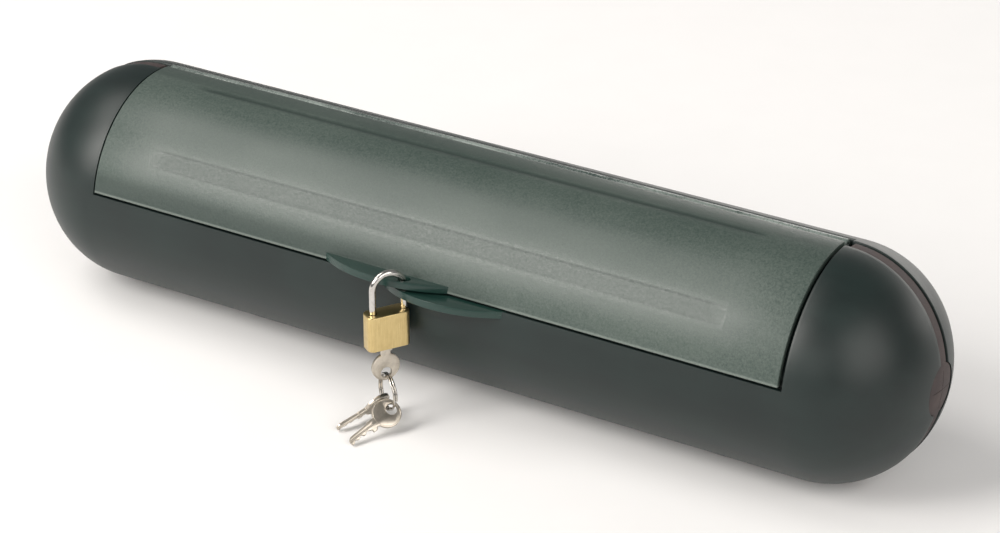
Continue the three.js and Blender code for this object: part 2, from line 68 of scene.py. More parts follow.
# ------------------------------------------------------------------ the workbench
class Axis(Enum):
    """The direction that a bar or a cut runs in."""

    X = (0.0, math.pi / 2, 0.0)
    Y = (math.pi / 2, 0.0, 0.0)
    Z = (0.0, 0.0, 0.0)


def let_go() -> None:
    """Deselects everything, so that the next operator acts on one piece alone."""
    if bpy.context.object and bpy.context.object.mode != "OBJECT":
        bpy.ops.object.mode_set(mode="OBJECT")
    for thing in bpy.context.scene.objects:
        thing.select_set(False)


def pick(*things: bpy.types.Object) -> None:
    """Selects these objects alone, the first one active.

    Args:
        things: The objects to select.
    """
    let_go()
    for thing in things:
        thing.select_set(True)
    bpy.context.view_layer.objects.active = things[0]


@contextmanager
def editing(thing: bpy.types.Object) -> Iterator[None]:
    """Opens a piece in edit mode with nothing selected, and closes it again.

    Args:
        thing: The piece to edit.
    """
    pick(thing)
    bpy.ops.object.mode_set(mode="EDIT")
    bpy.ops.mesh.select_mode(type="VERT")
    bpy.ops.mesh.select_all(action="DESELECT")
    yield
    bpy.ops.object.mode_set(mode="OBJECT")


def choose(thing: bpy.types.Object, kind: str, test: Callable[[object], bool]) -> None:
    """Selects the faces, edges or vertices of a piece in edit mode that pass a test.

    Args:
        thing: The piece in edit mode.
        kind: FACE, EDGE or VERT.
        test: Says of one element whether it is wanted.
    """
    bpy.ops.mesh.select_mode(type=kind)
    bpy.ops.mesh.select_all(action="DESELECT")
    mesh = bmesh.from_edit_mesh(thing.data)
    found = {"FACE": mesh.faces, "EDGE": mesh.edges, "VERT": mesh.verts}[kind]
    for element in [element for element in found if test(element)]:
        element.select_set(True)
    mesh.select_flush_mode()
    bmesh.update_edit_mesh(thing.data)


def middle(element: object) -> Vector:
    """The middle of a face or an edge."""
    points = [vertex.co for vertex in element.verts]
    return sum(points, Vector()) / len(points)


def unit(index: int) -> Vector:
    """The unit vector along an axis: 0 for X, 1 for Y, 2 for Z."""
    return Vector([1 if k == index else 0 for k in range(3)])


def pull(*move: float) -> None:
    """Draws the selected region out by a move, in edit mode."""
    bpy.ops.mesh.extrude_region_move(TRANSFORM_OT_translate={"value": move})


def slice_off(thing: bpy.types.Object, place: Vector, normal: Vector, clear: bool = True) -> None:
    """Bisects a whole piece, and drops what lies on the side that the normal points to.

    Args:
        thing: The piece to cut.
        place: A point on the cutting plane.
        normal: The plane's normal.
        clear: False only scores the piece and drops nothing.
    """
    with editing(thing):
        bpy.ops.mesh.select_all(action="SELECT")
        bpy.ops.mesh.bisect(plane_co=place, plane_no=normal, clear_outer=clear, threshold=1e-7)


def score(thing: bpy.types.Object, index: int, place: float) -> None:
    """Scores a piece across an axis at a place, and drops nothing."""
    slice_off(thing, unit(index) * place, unit(index), clear=False)


def drop_faces(thing: bpy.types.Object, test: Callable[[Vector], bool]) -> None:
    """Deletes the faces whose middle passes a test.

    Args:
        thing: The piece to open.
        test: Says of a face's middle whether the face goes.
    """
    with editing(thing):
        choose(thing, "FACE", lambda face: test(middle(face)))
        bpy.ops.mesh.delete(type="FACE")


def finish_with(thing: bpy.types.Object, kind: str, **settings: object) -> None:
    """Adds a modifier to a piece and applies it.

    Args:
        thing: The piece.
        kind: The modifier's type.
        settings: The modifier's own settings.
    """
    pick(thing)
    added = thing.modifiers.new(kind.lower(), kind)
    for name, value in settings.items():
        setattr(added, name, value)
    bpy.ops.object.modifier_apply(modifier=added.name)


def round_edges(thing: bpy.types.Object, width: float, steps: int = 3, angle: float = 40.0) -> None:
    """Rounds the sharp edges of a piece.

    Args:
        thing: The piece.
        width: How wide the rounding is, in metres.
        steps: Segments in the rounding.
        angle: Edges sharper than this many degrees are rounded.
    """
    finish_with(
        thing, "BEVEL", width=width, segments=steps, limit_method="ANGLE",
        angle_limit=math.radians(angle), use_clamp_overlap=True, harden_normals=False,
    )


def thicken(thing: bpy.types.Object, depth: float) -> None:
    """Gives a skin its wall, inwards from the surface that is there."""
    finish_with(thing, "SOLIDIFY", thickness=depth, offset=-1.0, use_even_offset=True, use_rim=True)


def carve(thing: bpy.types.Object, tool: bpy.types.Object, operation: str = "DIFFERENCE") -> None:
    """Cuts a closed shape out of a piece, and removes the shape.

    Args:
        thing: The piece that is cut.
        tool: The closed shape.
        operation: DIFFERENCE takes it away, INTERSECT keeps only what is in it.
    """
    finish_with(thing, "BOOLEAN", operation=operation, object=tool, solver="EXACT")
    bpy.data.objects.remove(tool)


def merge_into(first: bpy.types.Object, *others: bpy.types.Object) -> bpy.types.Object:
    """Joins pieces into the first one.

    Args:
        first: The piece that keeps its name.
        others: The pieces that go into it.

    Returns:
        The first piece.
    """
    pick(first, *others)
    bpy.ops.object.join()
    return first


def named(name: str) -> bpy.types.Object:
    """Names the new active object and its mesh, and returns it."""
    thing = bpy.context.object
    thing.name = name
    thing.data.name = name
    return thing


def settle(thing: bpy.types.Object) -> None:
    """Puts a piece's place, turn and size into its mesh."""
    pick(thing)
    bpy.ops.object.transform_apply(location=True, rotation=True, scale=True)


def shift(thing: bpy.types.Object, matrix: Matrix) -> None:
    """Moves a piece by a matrix, and puts the move into its mesh."""
    thing.matrix_world = matrix @ thing.matrix_world
    settle(thing)


def twin(thing: bpy.types.Object, name: str, matrix: Matrix) -> bpy.types.Object:
    """A copy of a piece with its own mesh, moved by a matrix.

    Args:
        thing: The piece to copy.
        name: The copy's name.
        matrix: Where the copy goes, from where the first one is.

    Returns:
        The copy.
    """
    pick(thing)
    bpy.ops.object.duplicate(linked=False)
    copy = named(name)
    shift(copy, matrix)
    return copy


def bar(name: str, middle_at: Vector, radius: float, length: float, axis: Axis,
        sides: int = 32) -> bpy.types.Object:
    """A round bar.

    Args:
        name: Its name.
        middle_at: The middle of the bar.
        radius: Its radius.
        length: Its length along the axis.
        axis: The way it runs.
        sides: Segments around it.

    Returns:
        The bar, with its place in its mesh.
    """
    let_go()
    bpy.ops.mesh.primitive_cylinder_add(
        vertices=sides, radius=radius, depth=length, location=middle_at, rotation=axis.value,
    )
    thing = named(name)
    settle(thing)
    return thing


def block(name: str, low: Vector, high: Vector) -> bpy.types.Object:
    """A box between two corners, with its place in its mesh."""
    let_go()
    bpy.ops.mesh.primitive_cube_add(size=1.0, location=(low + high) / 2)
    thing = named(name)
    thing.scale = high - low
    settle(thing)
    return thing


def smooth(thing: bpy.types.Object, angle: float = 32.0) -> None:
    """Shades a piece smooth, except over edges sharper than the angle in degrees."""
    pick(thing)
    bpy.ops.object.shade_smooth_by_angle(angle=math.radians(angle))


def true_normals(thing: bpy.types.Object) -> None:
    """Merges doubles and turns every face outwards."""
    with editing(thing):
        bpy.ops.mesh.select_all(action="SELECT")
        bpy.ops.mesh.remove_doubles(threshold=1e-6)
        bpy.ops.mesh.normals_make_consistent(inside=False)


def outline_plate(name: str, points: list[tuple[float, float]], thick: float) -> bpy.types.Object:
    """A flat plate drawn point by point in XY, filled, and drawn up along Z about z = 0.

    Args:
        name: Its name.
        points: The outline, anticlockwise from above.
        thick: The plate's thickness.

    Returns:
        The plate.
    """
    let_go()
    bpy.ops.mesh.primitive_plane_add(size=MM, location=(0, 0, 0))
    thing = named(name)
    start = Vector((points[0][0], points[0][1], -thick / 2))
    with editing(thing):
        bpy.ops.mesh.select_all(action="SELECT")
        bpy.ops.mesh.merge(type="CENTER")
        bpy.ops.transform.translate(value=start)
        for before, after in zip(points, points[1:]):
            step = (after[0] - before[0], after[1] - before[1], 0.0)
            bpy.ops.mesh.extrude_vertices_move(TRANSFORM_OT_translate={"value": step})
        bpy.ops.mesh.select_all(action="SELECT")
        bpy.ops.mesh.edge_face_add()
        pull(0, 0, thick)
    true_normals(thing)
    return thing


# ------------------------------------------------------------------ finishes
def paint(code: str) -> tuple[float, float, float, float]:
    """A colour from its six-figure code, as the linear values that a shader takes."""
    parts = [int(code[i:i + 2], 16) / 255 for i in (0, 2, 4)]
    linear = [c / 12.92 if c <= 0.04045 else ((c + 0.055) / 1.055) ** 2.4 for c in parts]
    return (*linear, 1.0)


class Signal:
    """A number that changes over a surface. Python's operators on it add Math nodes."""

    def __init__(self, tree: bpy.types.NodeTree, socket: bpy.types.NodeSocket) -> None:
        """Wraps a socket.

        Args:
            tree: The material's node tree.
            socket: The output that carries the number.
        """
        self.tree = tree
        self.socket = socket

    def _math(self, operation: str, *values: "Signal | float") -> "Signal":
        """A Math node on these values, in their order."""
        node = self.tree.nodes.new("ShaderNodeMath")
        node.operation = operation
        for slot, value in zip(node.inputs, values):
            if isinstance(value, Signal):
                self.tree.links.new(value.socket, slot)
            else:
                slot.default_value = float(value)
        return Signal(self.tree, node.outputs[0])

    def __add__(self, other: "Signal | float") -> "Signal":
        """self + other."""
        return self._math("ADD", self, other)

    def __radd__(self, other: float) -> "Signal":
        """other + self."""
        return self._math("ADD", other, self)

    def __sub__(self, other: "Signal | float") -> "Signal":
        """self - other."""
        return self._math("SUBTRACT", self, other)

    def __rsub__(self, other: float) -> "Signal":
        """other - self."""
        return self._math("SUBTRACT", other, self)

    def __mul__(self, other: "Signal | float") -> "Signal":
        """self * other."""
        return self._math("MULTIPLY", self, other)

    def __rmul__(self, other: float) -> "Signal":
        """other * self."""
        return self._math("MULTIPLY", other, self)

    def __abs__(self) -> "Signal":
        """The size of the number without its sign."""
        return self._math("ABSOLUTE", self)

    def angle_to(self, other: "Signal") -> "Signal":
        """The angle of the point (other, self), as atan2 gives it."""
        return self._math("ARCTAN2", self, other)

    def step(self, low: float, high: float) -> "Signal":
        """0 below low and 1 above high, with a soft step between them.

        Args:
            low: Where the step starts.
            high: Where it ends. It may be the smaller one, and then the step falls.

        Returns:
            The stepped number.
        """
        node = self.tree.nodes.new("ShaderNodeMapRange")
        node.interpolation_type = "SMOOTHSTEP"
        falling = high < low
        self.tree.links.new(self.socket, node.inputs["Value"])
        node.inputs["From Min"].default_value = min(low, high)
        node.inputs["From Max"].default_value = max(low, high)
        node.inputs["To Min"].default_value = 1.0 if falling else 0.0
        node.inputs["To Max"].default_value = 0.0 if falling else 1.0
        return Signal(self.tree, node.outputs["Result"])

    def band(self, centre: float, half: float, soft: float) -> "Signal":
        """1 within half of the centre, falling softly to 0 outside it."""
        return abs(self - centre).step(half + soft, half - soft if half > soft else 0.0)


class Recipe:
    """One material and the nodes that make it."""

    def __init__(self, name: str) -> None:
        """Starts a material with its Principled shader.

        Args:
            name: The material's name.
        """
        self.material = bpy.data.materials.new(name)
        self.material.use_nodes = True
        self.tree = self.material.node_tree
        self.shader = self.tree.nodes["Principled BSDF"]

    def node(self, kind: str, settings: dict | None = None, values: dict | None = None) -> bpy.types.Node:
        """Adds a node.

        Args:
            kind: The node's type.
            settings: The node's own settings, set first.
            values: Sockets by name: numbers, colours, Signals or other sockets.

        Returns:
            The node.
        """
        made = self.tree.nodes.new(kind)
        for name, value in (settings or {}).items():
            setattr(made, name, value)
        for name, value in (values or {}).items():
            self.join(value, made.inputs[name])
        return made

    def join(self, value: object, slot: bpy.types.NodeSocket) -> None:
        """Links a Signal or a socket to a slot, or sets the slot to a plain value."""
        source = value.socket if isinstance(value, Signal) else value
        if isinstance(source, bpy.types.NodeSocket):
            self.tree.links.new(source, slot)
        else:
            slot.default_value = source

    def place(self, shift_by: Vector = Vector(), turn: Vector = Vector()) -> bpy.types.NodeSocket:
        """The point on the piece, in metres, in a frame that is moved and turned.

        Args:
            shift_by: The frame's origin.
            turn: The frame's turn about X, Y and Z, in radians.

        Returns:
            The socket with the point.
        """
        here = self.node("ShaderNodeTexCoord").outputs["Object"]
        mapped = self.node(
            "ShaderNodeMapping", {"vector_type": "TEXTURE"},
            {"Vector": here, "Location": shift_by, "Rotation": turn},
        )
        return mapped.outputs["Vector"]

    def noise(self, point: bpy.types.NodeSocket, size: float, detail: float = 2.0,
              stretch: Vector = Vector((1, 1, 1)), rough: float = 0.5) -> Signal:
        """Noise from 0 to 1 about 0.5.

        Args:
            point: The point on the piece.
            size: How big the spots are, in metres.
            detail: Octaves.
            stretch: How much longer the spots are along each axis.
            rough: How strong the smaller octaves are.

        Returns:
            The noise.
        """
        scaled = self.node(
            "ShaderNodeMapping", {"vector_type": "POINT"},
            {"Vector": point, "Scale": Vector([1 / (size * s) for s in stretch])},
        ).outputs["Vector"]
        made = self.node(
            "ShaderNodeTexNoise", {"noise_dimensions": "3D"},
            {"Vector": scaled, "Scale": 1.0, "Detail": detail, "Roughness": rough},
        )
        return Signal(self.tree, made.outputs[0])

    def axes(self, point: bpy.types.NodeSocket) -> tuple[Signal, Signal, Signal]:
        """The three numbers of a point."""
        split = self.node("ShaderNodeSeparateXYZ", None, {"Vector": point})
        return tuple(Signal(self.tree, out) for out in split.outputs)

    def mix(self, share: Signal, first: object, second: object) -> bpy.types.NodeSocket:
        """A colour between two others.

        Args:
            share: 0 for the first colour, 1 for the second.
            first: A colour or a socket.
            second: A colour or a socket.

        Returns:
            The socket with the colour.
        """
        made = self.tree.nodes.new("ShaderNodeMix")
        made.data_type = "RGBA"
        factor, colour_a, colour_b = (made.inputs[index] for index in (0, 6, 7))
        self.join(share, factor)
        self.join(first, colour_a)
        self.join(second, colour_b)
        return made.outputs[2]

    def relief(self, height: Signal, depth: float, strength: float = 1.0) -> None:
        """Bumps the surface by a height from 0 to 1.

        Args:
            height: The height.
            depth: What a height of 1 is, in metres.
            strength: How strongly it shows.
        """
        bump = self.node(
            "ShaderNodeBump", None, {"Height": height, "Distance": depth, "Strength": strength},
        )
        self.tree.links.new(bump.outputs["Normal"], self.shader.inputs["Normal"])

    def feed(self, **sockets: object) -> None:
        """Sets or links the shader's sockets, named with _ for a space."""
        for name, value in sockets.items():
            self.join(value, self.shader.inputs[name.replace("_", " ")])


@dataclass(frozen=True)
class MouldedPlastic:
    """Grained polypropylene of the case: dark grey-green, a little paler in patches."""

    name: str = "case_plastic"
    deep: str = "101C1B"
    pale: str = "192725"
    grain: float = 0.45 * MM
    grain_depth: float = 0.012 * MM
    rough: float = 0.42
    specular: float = 0.45

    def make(self) -> bpy.types.Material:
        """Builds the material."""
        recipe = Recipe(self.name)
        point = recipe.place()
        grain = recipe.noise(point, self.grain, 2.0)
        cloud = recipe.noise(point, 28 * MM, 3.0)
        flow = recipe.noise(point, 9 * MM, 2.0, Vector((7, 1, 1)))
        tone = (cloud * 0.6 + flow * 0.4).step(0.3, 0.72)
        colour = recipe.mix(tone * 0.75 + (grain - 0.5) * 0.5, paint(self.deep), paint(self.pale))
        recipe.feed(
            Base_Color=colour,
            Roughness=(cloud - 0.5) * 0.10 + (grain - 0.5) * 0.08 + self.rough,
            Specular_IOR_Level=self.specular,
        )
        recipe.relief(grain, self.grain_depth, 0.7)
        return recipe.material


@dataclass(frozen=True)
class LidPlastic:
    """The lid's greyer plastic: speckled, with painted shade in its pressed groove and along and across its
    recess, a painted shade strip at the top by the hinge and along the left of the lower edge, and a painted
    highlight line along the lower edge.
    """

    name: str = "lid_plastic"
    deep: str = "2F3E39"
    pale: str = "515C56"
    # The colour of the painted shade in the groove and recess, by the hinge and along the lower edge.
    shade_colour: str = "1F2D29"
    axis_height: float = 50 * MM
    lean: float = math.radians(8.9)
    # The colour of a painted highlight along the lid's lower edge.
    painted_edge_highlight: str = "98A19B"
    grain: float = 0.95 * MM
    rough: float = 0.40
    line_angles: tuple[float, float] = (13.5, 57.2)
    line_half: float = 139 * MM

    def make(self) -> bpy.types.Material:
        """Builds the material."""
        recipe = Recipe(self.name)
        point = recipe.place(Vector((0, 0, self.axis_height)), Vector((-self.lean, 0, 0)))
        along, front, up = recipe.axes(point)
        angle = (0.0 - front).angle_to(up) * (180 / math.pi)
        grain = recipe.noise(point, self.grain, 3.0, rough=0.7)
        fleck = recipe.noise(point, 0.42 * MM, 1.0).step(0.45, 0.8)
        cloud = recipe.noise(point, 42 * MM, 3.0, Vector((2, 1, 1)))
        flow = recipe.noise(point, 6 * MM, 3.0, Vector((14, 1, 1)))
        inside = abs(along).step(self.line_half + 4 * MM, self.line_half - 10 * MM)
        wobble = (flow - 0.5) * 1.6
        # Painted shade: darker bands in the pressed groove (upper), along the recess's edges (lower, second)
        # and across it (under), a strip along the left of the lower edge (foot) and a strip at the top by
        # the hinge.
        upper = (angle + wobble * 0.5).band(self.line_angles[0], 1.3, 1.6)
        lower = (angle + wobble * 0.4).band(self.line_angles[1], 0.4, 0.7)
        under = (angle + wobble).band(self.line_angles[1] + 4.3, 4.0, 1.2)
        second = (angle + wobble * 0.4).band(self.line_angles[1] + 8.6, 0.4, 0.7)
        foot = (angle + wobble * 2).step(72, 80) * along.step(0.05, -0.06)
        hinge_side_shade = (angle + wobble).step(12.5, 9) * 0.3
        lines = inside * (upper * 0.8 + lower * 0.5 + under * 0.28 + second * 0.25)
        painted_shade = lines + foot * 0.55 + hinge_side_shade
        tone = cloud.step(0.25, 0.75) * 0.4 + flow * 0.2 + (grain - 0.5) * 1.9 + fleck * 0.3 + 0.15
        colour = recipe.mix(tone, paint(self.deep), paint(self.pale))
        colour = recipe.mix(painted_shade, colour, paint(self.shade_colour))
        # Painted highlight: a thin pale line along the lid's lower edge.
        colour = recipe.mix(angle.step(85.0, 85.8) * 0.3, colour, paint(self.painted_edge_highlight))
        recipe.feed(
            Base_Color=colour,
            Roughness=(grain - 0.5) * 0.5 + painted_shade * 0.10 + self.rough,
            Specular_IOR_Level=0.5,
        )
        height = grain * 0.35 + fleck * 0.15
        recipe.relief(height, 0.10 * MM, 0.9)
        return recipe.material


@dataclass(frozen=True)
class SealRubber:
    """Brown rubber: matt, with fine pores and dusty patches."""

    name: str = "seal_rubber"
    deep: str = "362D2D"
    pale: str = "544A48"

    def make(self) -> bpy.types.Material:
        """Builds the material."""
        recipe = Recipe(self.name)
        point = recipe.place()
        pores = recipe.noise(point, 0.5 * MM, 3.0)
        dust = recipe.noise(point, 7 * MM, 4.0).step(0.35, 0.75)
        colour = recipe.mix(dust * 0.7 + (pores - 0.5) * 0.5, paint(self.deep), paint(self.pale))
        recipe.feed(Base_Color=colour, Roughness=dust * 0.15 + 0.62, Specular_IOR_Level=0.35)
        recipe.relief(pores, 0.03 * MM, 0.8)
        return recipe.material


@dataclass(frozen=True)
class Metal:
    """A worked metal: brushed along one axis, with small stains and scratches."""

    name: str
    colour: str
    stain: str
    rough: float
    brush: Vector = field(default_factory=lambda: Vector((1, 1, 1)))
    brush_size: float = 0.16 * MM
    brush_depth: float = 0.004 * MM
    turn: float = 0.0
    spread: float = 0.14
    staining: float = 0.45

    def make(self) -> bpy.types.Material:
        """Builds the material."""
        recipe = Recipe(self.name)
        point = recipe.place(Vector(), Vector((0, 0, self.turn)))
        strokes = recipe.noise(point, self.brush_size, 3.0, self.brush, 0.65)
        stain = recipe.noise(point, 3.5 * MM, 3.0).step(0.42, 0.78)
        colour = recipe.mix(
            stain * self.staining + (strokes - 0.5) * 0.9 + 0.2, paint(self.colour), paint(self.stain),
        )
        recipe.feed(
            Base_Color=colour, Metallic=1.0,
            Roughness=(strokes - 0.5) * self.spread + stain * 0.06 + self.rough,
        )
        recipe.relief(strokes, self.brush_depth, 0.6)
        return recipe.material


@dataclass(frozen=True)
class WaxBait:
    """Pressed wax bait: dull blue-green with grain flecks and crumbs."""

    name: str = "bait_wax"

    def make(self) -> bpy.types.Material:
        """Builds the material."""
        recipe = Recipe(self.name)
        point = recipe.place()
        crumbs = recipe.noise(point, 1.4 * MM, 4.0, rough=0.7)
        seeds = recipe.noise(point, 2.6 * MM, 1.0).step(0.6, 0.7)
        colour = recipe.mix(crumbs.step(0.3, 0.7), paint("1E5E63"), paint("3F8B8C"))
        colour = recipe.mix(seeds * 0.8, colour, paint("B9A873"))
        recipe.feed(Base_Color=colour, Roughness=crumbs * 0.2 + 0.55)
        recipe.relief(crumbs, 0.25 * MM, 0.9)
        return recipe.material


class Finishes:
    """Every finish on the bait station, by the record's material slot."""

    def __init__(self) -> None:
        """Makes the materials once."""
        turned = math.radians(57)
        self.by_slot = {
            "case_plastic": MouldedPlastic().make(),
            "lid_plastic": LidPlastic().make(),
            "seal_rubber": SealRubber().make(),
            "steel": Metal("zinc_steel", "A9A9A4", "77756F", 0.34).make(),
            "chrome": Metal(
                "polished_steel", "DAD8D4", "9C9792", 0.13, Vector((1, 1, 9)), 0.12 * MM,
                0.0015 * MM, turned, 0.06,
            ).make(),
            "brass": Metal(
                "satin_brass", "DCC690", "A98E58", 0.31, Vector((1, 1, 30)), 0.24 * MM,
                0.012 * MM, turned, 0.24, 0.15,
            ).make(),
            "nickel": Metal("nickel_plate", "D4CCBF", "9A9388", 0.31).make(),
            "ring_steel": Metal("ring_wire", "CBC7C0", "8B867F", 0.16).make(),
            "tray_plastic": MouldedPlastic(
                "tray_plastic", "15181A", "24282B", 0.6 * MM, 0.015 * MM, 0.5,
            ).make(),
            "bait": WaxBait().make(),
        }
        # A copy of the case plastic whose pale grain colour is a painted highlight: it stands in for the
        # sparkle along the hinge's knuckles.
        self.hinge = MouldedPlastic(
            "hinge_plastic_painted_highlight", "2E3D39", "AAB5AF", 0.9 * MM, 0.16 * MM, 0.28, 0.9,
        ).make()
        self.lip = MouldedPlastic(
            "lip_plastic", "17302B", "213A34", 0.45 * MM, 0.004 * MM, 0.24, 0.5,
        ).make()

    def dress(self, thing: bpy.types.Object, slot: str) -> None:
        """Gives a piece the finish of a slot, and nothing else."""
        thing.data.materials.clear()
        thing.data.materials.append(self.by_slot[slot])


# ------------------------------------------------------------------ the case's sizes
@dataclass(frozen=True)
class CaseSizes:
    """Sizes that the shells, the lid and the seals share, in metres, in the leaning frame."""

    radius: float = 50 * MM
    wall: float = 3 * MM
    straight: float = 170.4 * MM
    dome: float = 46.6 * MM
    lean: float = math.radians(8.9)
    seam_front: float = -3.1 * MM
    seam_back: float = 4.8 * MM
    gap: float = 0.3 * MM
    lid_left: float = -165.2 * MM
    lid_right: float = 167.3 * MM
    open_left: float = -165.7 * MM
    open_right: float = 169.3 * MM
    open_front: float = 1.9 * MM
    lid_front: float = 2.9 * MM
    lid_top: float = 1.5 * MM
    entry: float = 11.3 * MM
    hinge_radius: float = 2.6 * MM
    hinge_y: float = 4.9 * MM
    hinge_rim: float = 8.2 * MM
    knuckles: int = 9
    lip_hole: Vector = field(default_factory=lambda: Vector((-1.6 * MM, -54.1 * MM, 2.4 * MM)))
    lip_hole_radius: float = 2.75 * MM
    edge: float = 0.38 * MM

    @property
    def hinge_z(self) -> float:
        """The hinge's height over the case's axis."""
        return math.sqrt((self.radius - self.hinge_radius) ** 2 - self.hinge_y ** 2)

    @property
    def leaning(self) -> Matrix:
        """From the leaning frame to the part's frame."""
        return Matrix.Translation((0, 0, self.radius)) @ Matrix.Rotation(-self.lean, 4, "X")

    def wall_at(self, x: float, z: float, offset: float) -> float:
        """How far back the case's surface is at a place, less an offset."""
        past = max(0.0, abs(x) - self.straight) / (self.dome + offset)
        return math.sqrt((1 - past ** 2) * (self.radius + offset) ** 2 - z ** 2)


@dataclass
class Skin:
    """The capsule's skin, grown by an offset, trimmed to a window and given a wall."""

    sizes: CaseSizes
    name: str
    offset: float = 0.0
    around: int = 120
    rings: int = 60

    def build(self) -> bpy.types.Object:
        """A whole closed capsule skin about the X axis.

        Returns:
            The skin as an object.
        """
        radius = self.sizes.radius + self.offset
        let_go()
        bpy.ops.mesh.primitive_uv_sphere_add(
            segments=self.around, ring_count=self.rings, radius=radius, rotation=Axis.Y.value,
        )
        thing = named(self.name)
        settle(thing)
        slice_off(thing, Vector(), Vector((-1, 0, 0)))
        with editing(thing):
            bpy.ops.mesh.select_all(action="SELECT")
            squash = (self.sizes.dome + self.offset) / radius
            bpy.ops.transform.resize(value=(squash, 1, 1), center_override=(0, 0, 0))
            bpy.ops.transform.translate(value=(self.sizes.straight, 0, 0))
            choose(thing, "EDGE", lambda edge: edge.is_boundary)
            run = {"value": (-self.sizes.straight, 0, 0)}
            bpy.ops.mesh.extrude_edges_move(TRANSFORM_OT_translate=run)
        finish_with(
            thing, "MIRROR", use_axis=(True, False, False), use_mirror_merge=True, merge_threshold=1e-6,
        )
        true_normals(thing)
        return thing

    def window(self, x: tuple[float, float] | None = None, y: tuple[float, float] | None = None,
               z: tuple[float, float] | None = None) -> bpy.types.Object:
        """The skin trimmed to ranges of x, y and z.

        Args:
            x: Lowest and highest x, or None.
            y: Lowest and highest y, or None.
            z: Lowest and highest z, or None.

        Returns:
            The trimmed skin.
        """
        thing = self.build()
        for index, limits in enumerate((x, y, z)):
            if limits is None:
                continue
            for sign, limit in zip((-1, 1), limits):
                if abs(limit) < UP_TO:
                    slice_off(thing, unit(index) * limit, unit(index) * sign)
        return thing


def score_box(thing: bpy.types.Object, low: Vector, high: Vector) -> None:
    """Scores a skin along the sides of a box that is open where a corner is a metre or more away.

    Args:
        thing: The skin.
        low: The box's low corner.
        high: The box's high corner.
    """
    for corner in (low, high):
        for index in range(3):
            if abs(corner[index]) < UP_TO:
                score(thing, index, corner[index])


def open_box(thing: bpy.types.Object, low: Vector, high: Vector) -> None:
    """Opens a skin within a box.

    Args:
        thing: The skin.
        low: The box's low corner.
        high: The box's high corner.
    """
    score_box(thing, low, high)
    drop_faces(thing, lambda point: all(low[k] < point[k] < high[k] for k in range(3)))


# ------------------------------------------------------------------ sub-assemblies
class Assembly:
    """A sub-assembly: it builds its pieces, dresses them and puts them on their bodies."""

    def __init__(self, finishes: Finishes, sizes: CaseSizes) -> None:
        """Keeps what every sub-assembly needs.

        Args:
            finishes: The finishes.
            sizes: The case's sizes.
        """
        self.finishes = finishes
        self.sizes = sizes

    def hand_over(self, thing: bpy.types.Object, body: str, slot: str, *nodes: str,
                  frame_of: Matrix | None = None, angle: float = 32.0,
                  finish: bpy.types.Material | None = None) -> bpy.types.Object:
        """Places a finished piece, dresses it, and says what it rides on and stands for.

        Args:
            thing: The piece.
            body: The body that it rides on.
            slot: The record's material slot.
            nodes: The CAD nodes that it replaces.
            frame_of: From the piece's frame to the part's, or None.
            angle: Edges sharper than this many degrees stay sharp.
            finish: A finish of its own, or None for the slot's.

        Returns:
            The piece.
        """
        smooth(thing, angle)
        if frame_of is not None:
            shift(thing, frame_of)
        self.finishes.dress(thing, slot)
        if finish is not None:
            thing.data.materials[0] = finish
        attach(thing, body)
        if nodes:
            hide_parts(*nodes)
        LOG.info("%s: %d faces, rides on %s", thing.name, len(thing.data.polygons), body)
        return thing


@dataclass
class Lip:
    """A half-moon lip out of the case's front: its middle along x, half length, reach and underside."""

    sizes: CaseSizes
    middle_x: float
    half: float
    reach: float
    low: float
    thick: float = 3 * MM

    def build(self, name: str) -> bpy.types.Object:
        """The lip with its rounded rim and the hole for the shackle.

        Args:
            name: The piece's name.

        Returns:
            The lip.
        """
        radius = (self.half ** 2 + self.reach ** 2) / (2 * self.reach)
        root = -self.sizes.radius + 1.6 * MM
        rim = -self.sizes.radius + 0.2 * MM - self.reach
        let_go()
        bpy.ops.mesh.primitive_circle_add(
            vertices=420, radius=radius, fill_type="NGON", location=(self.middle_x, rim + radius, self.low),
        )
        thing = named(name)
        settle(thing)
        slice_off(thing, Vector((0, root, 0)), Vector((0, 1, 0)))
        with editing(thing):
            bpy.ops.mesh.select_all(action="SELECT")
            pull(0, 0, self.thick)
        true_normals(thing)
        hole = bar("lip_drill", self.sizes.lip_hole, self.sizes.lip_hole_radius, 20 * MM, Axis.Z, 48)
        carve(thing, hole)
        round_edges(thing, 0.55 * MM, 3, 50)
        return thing


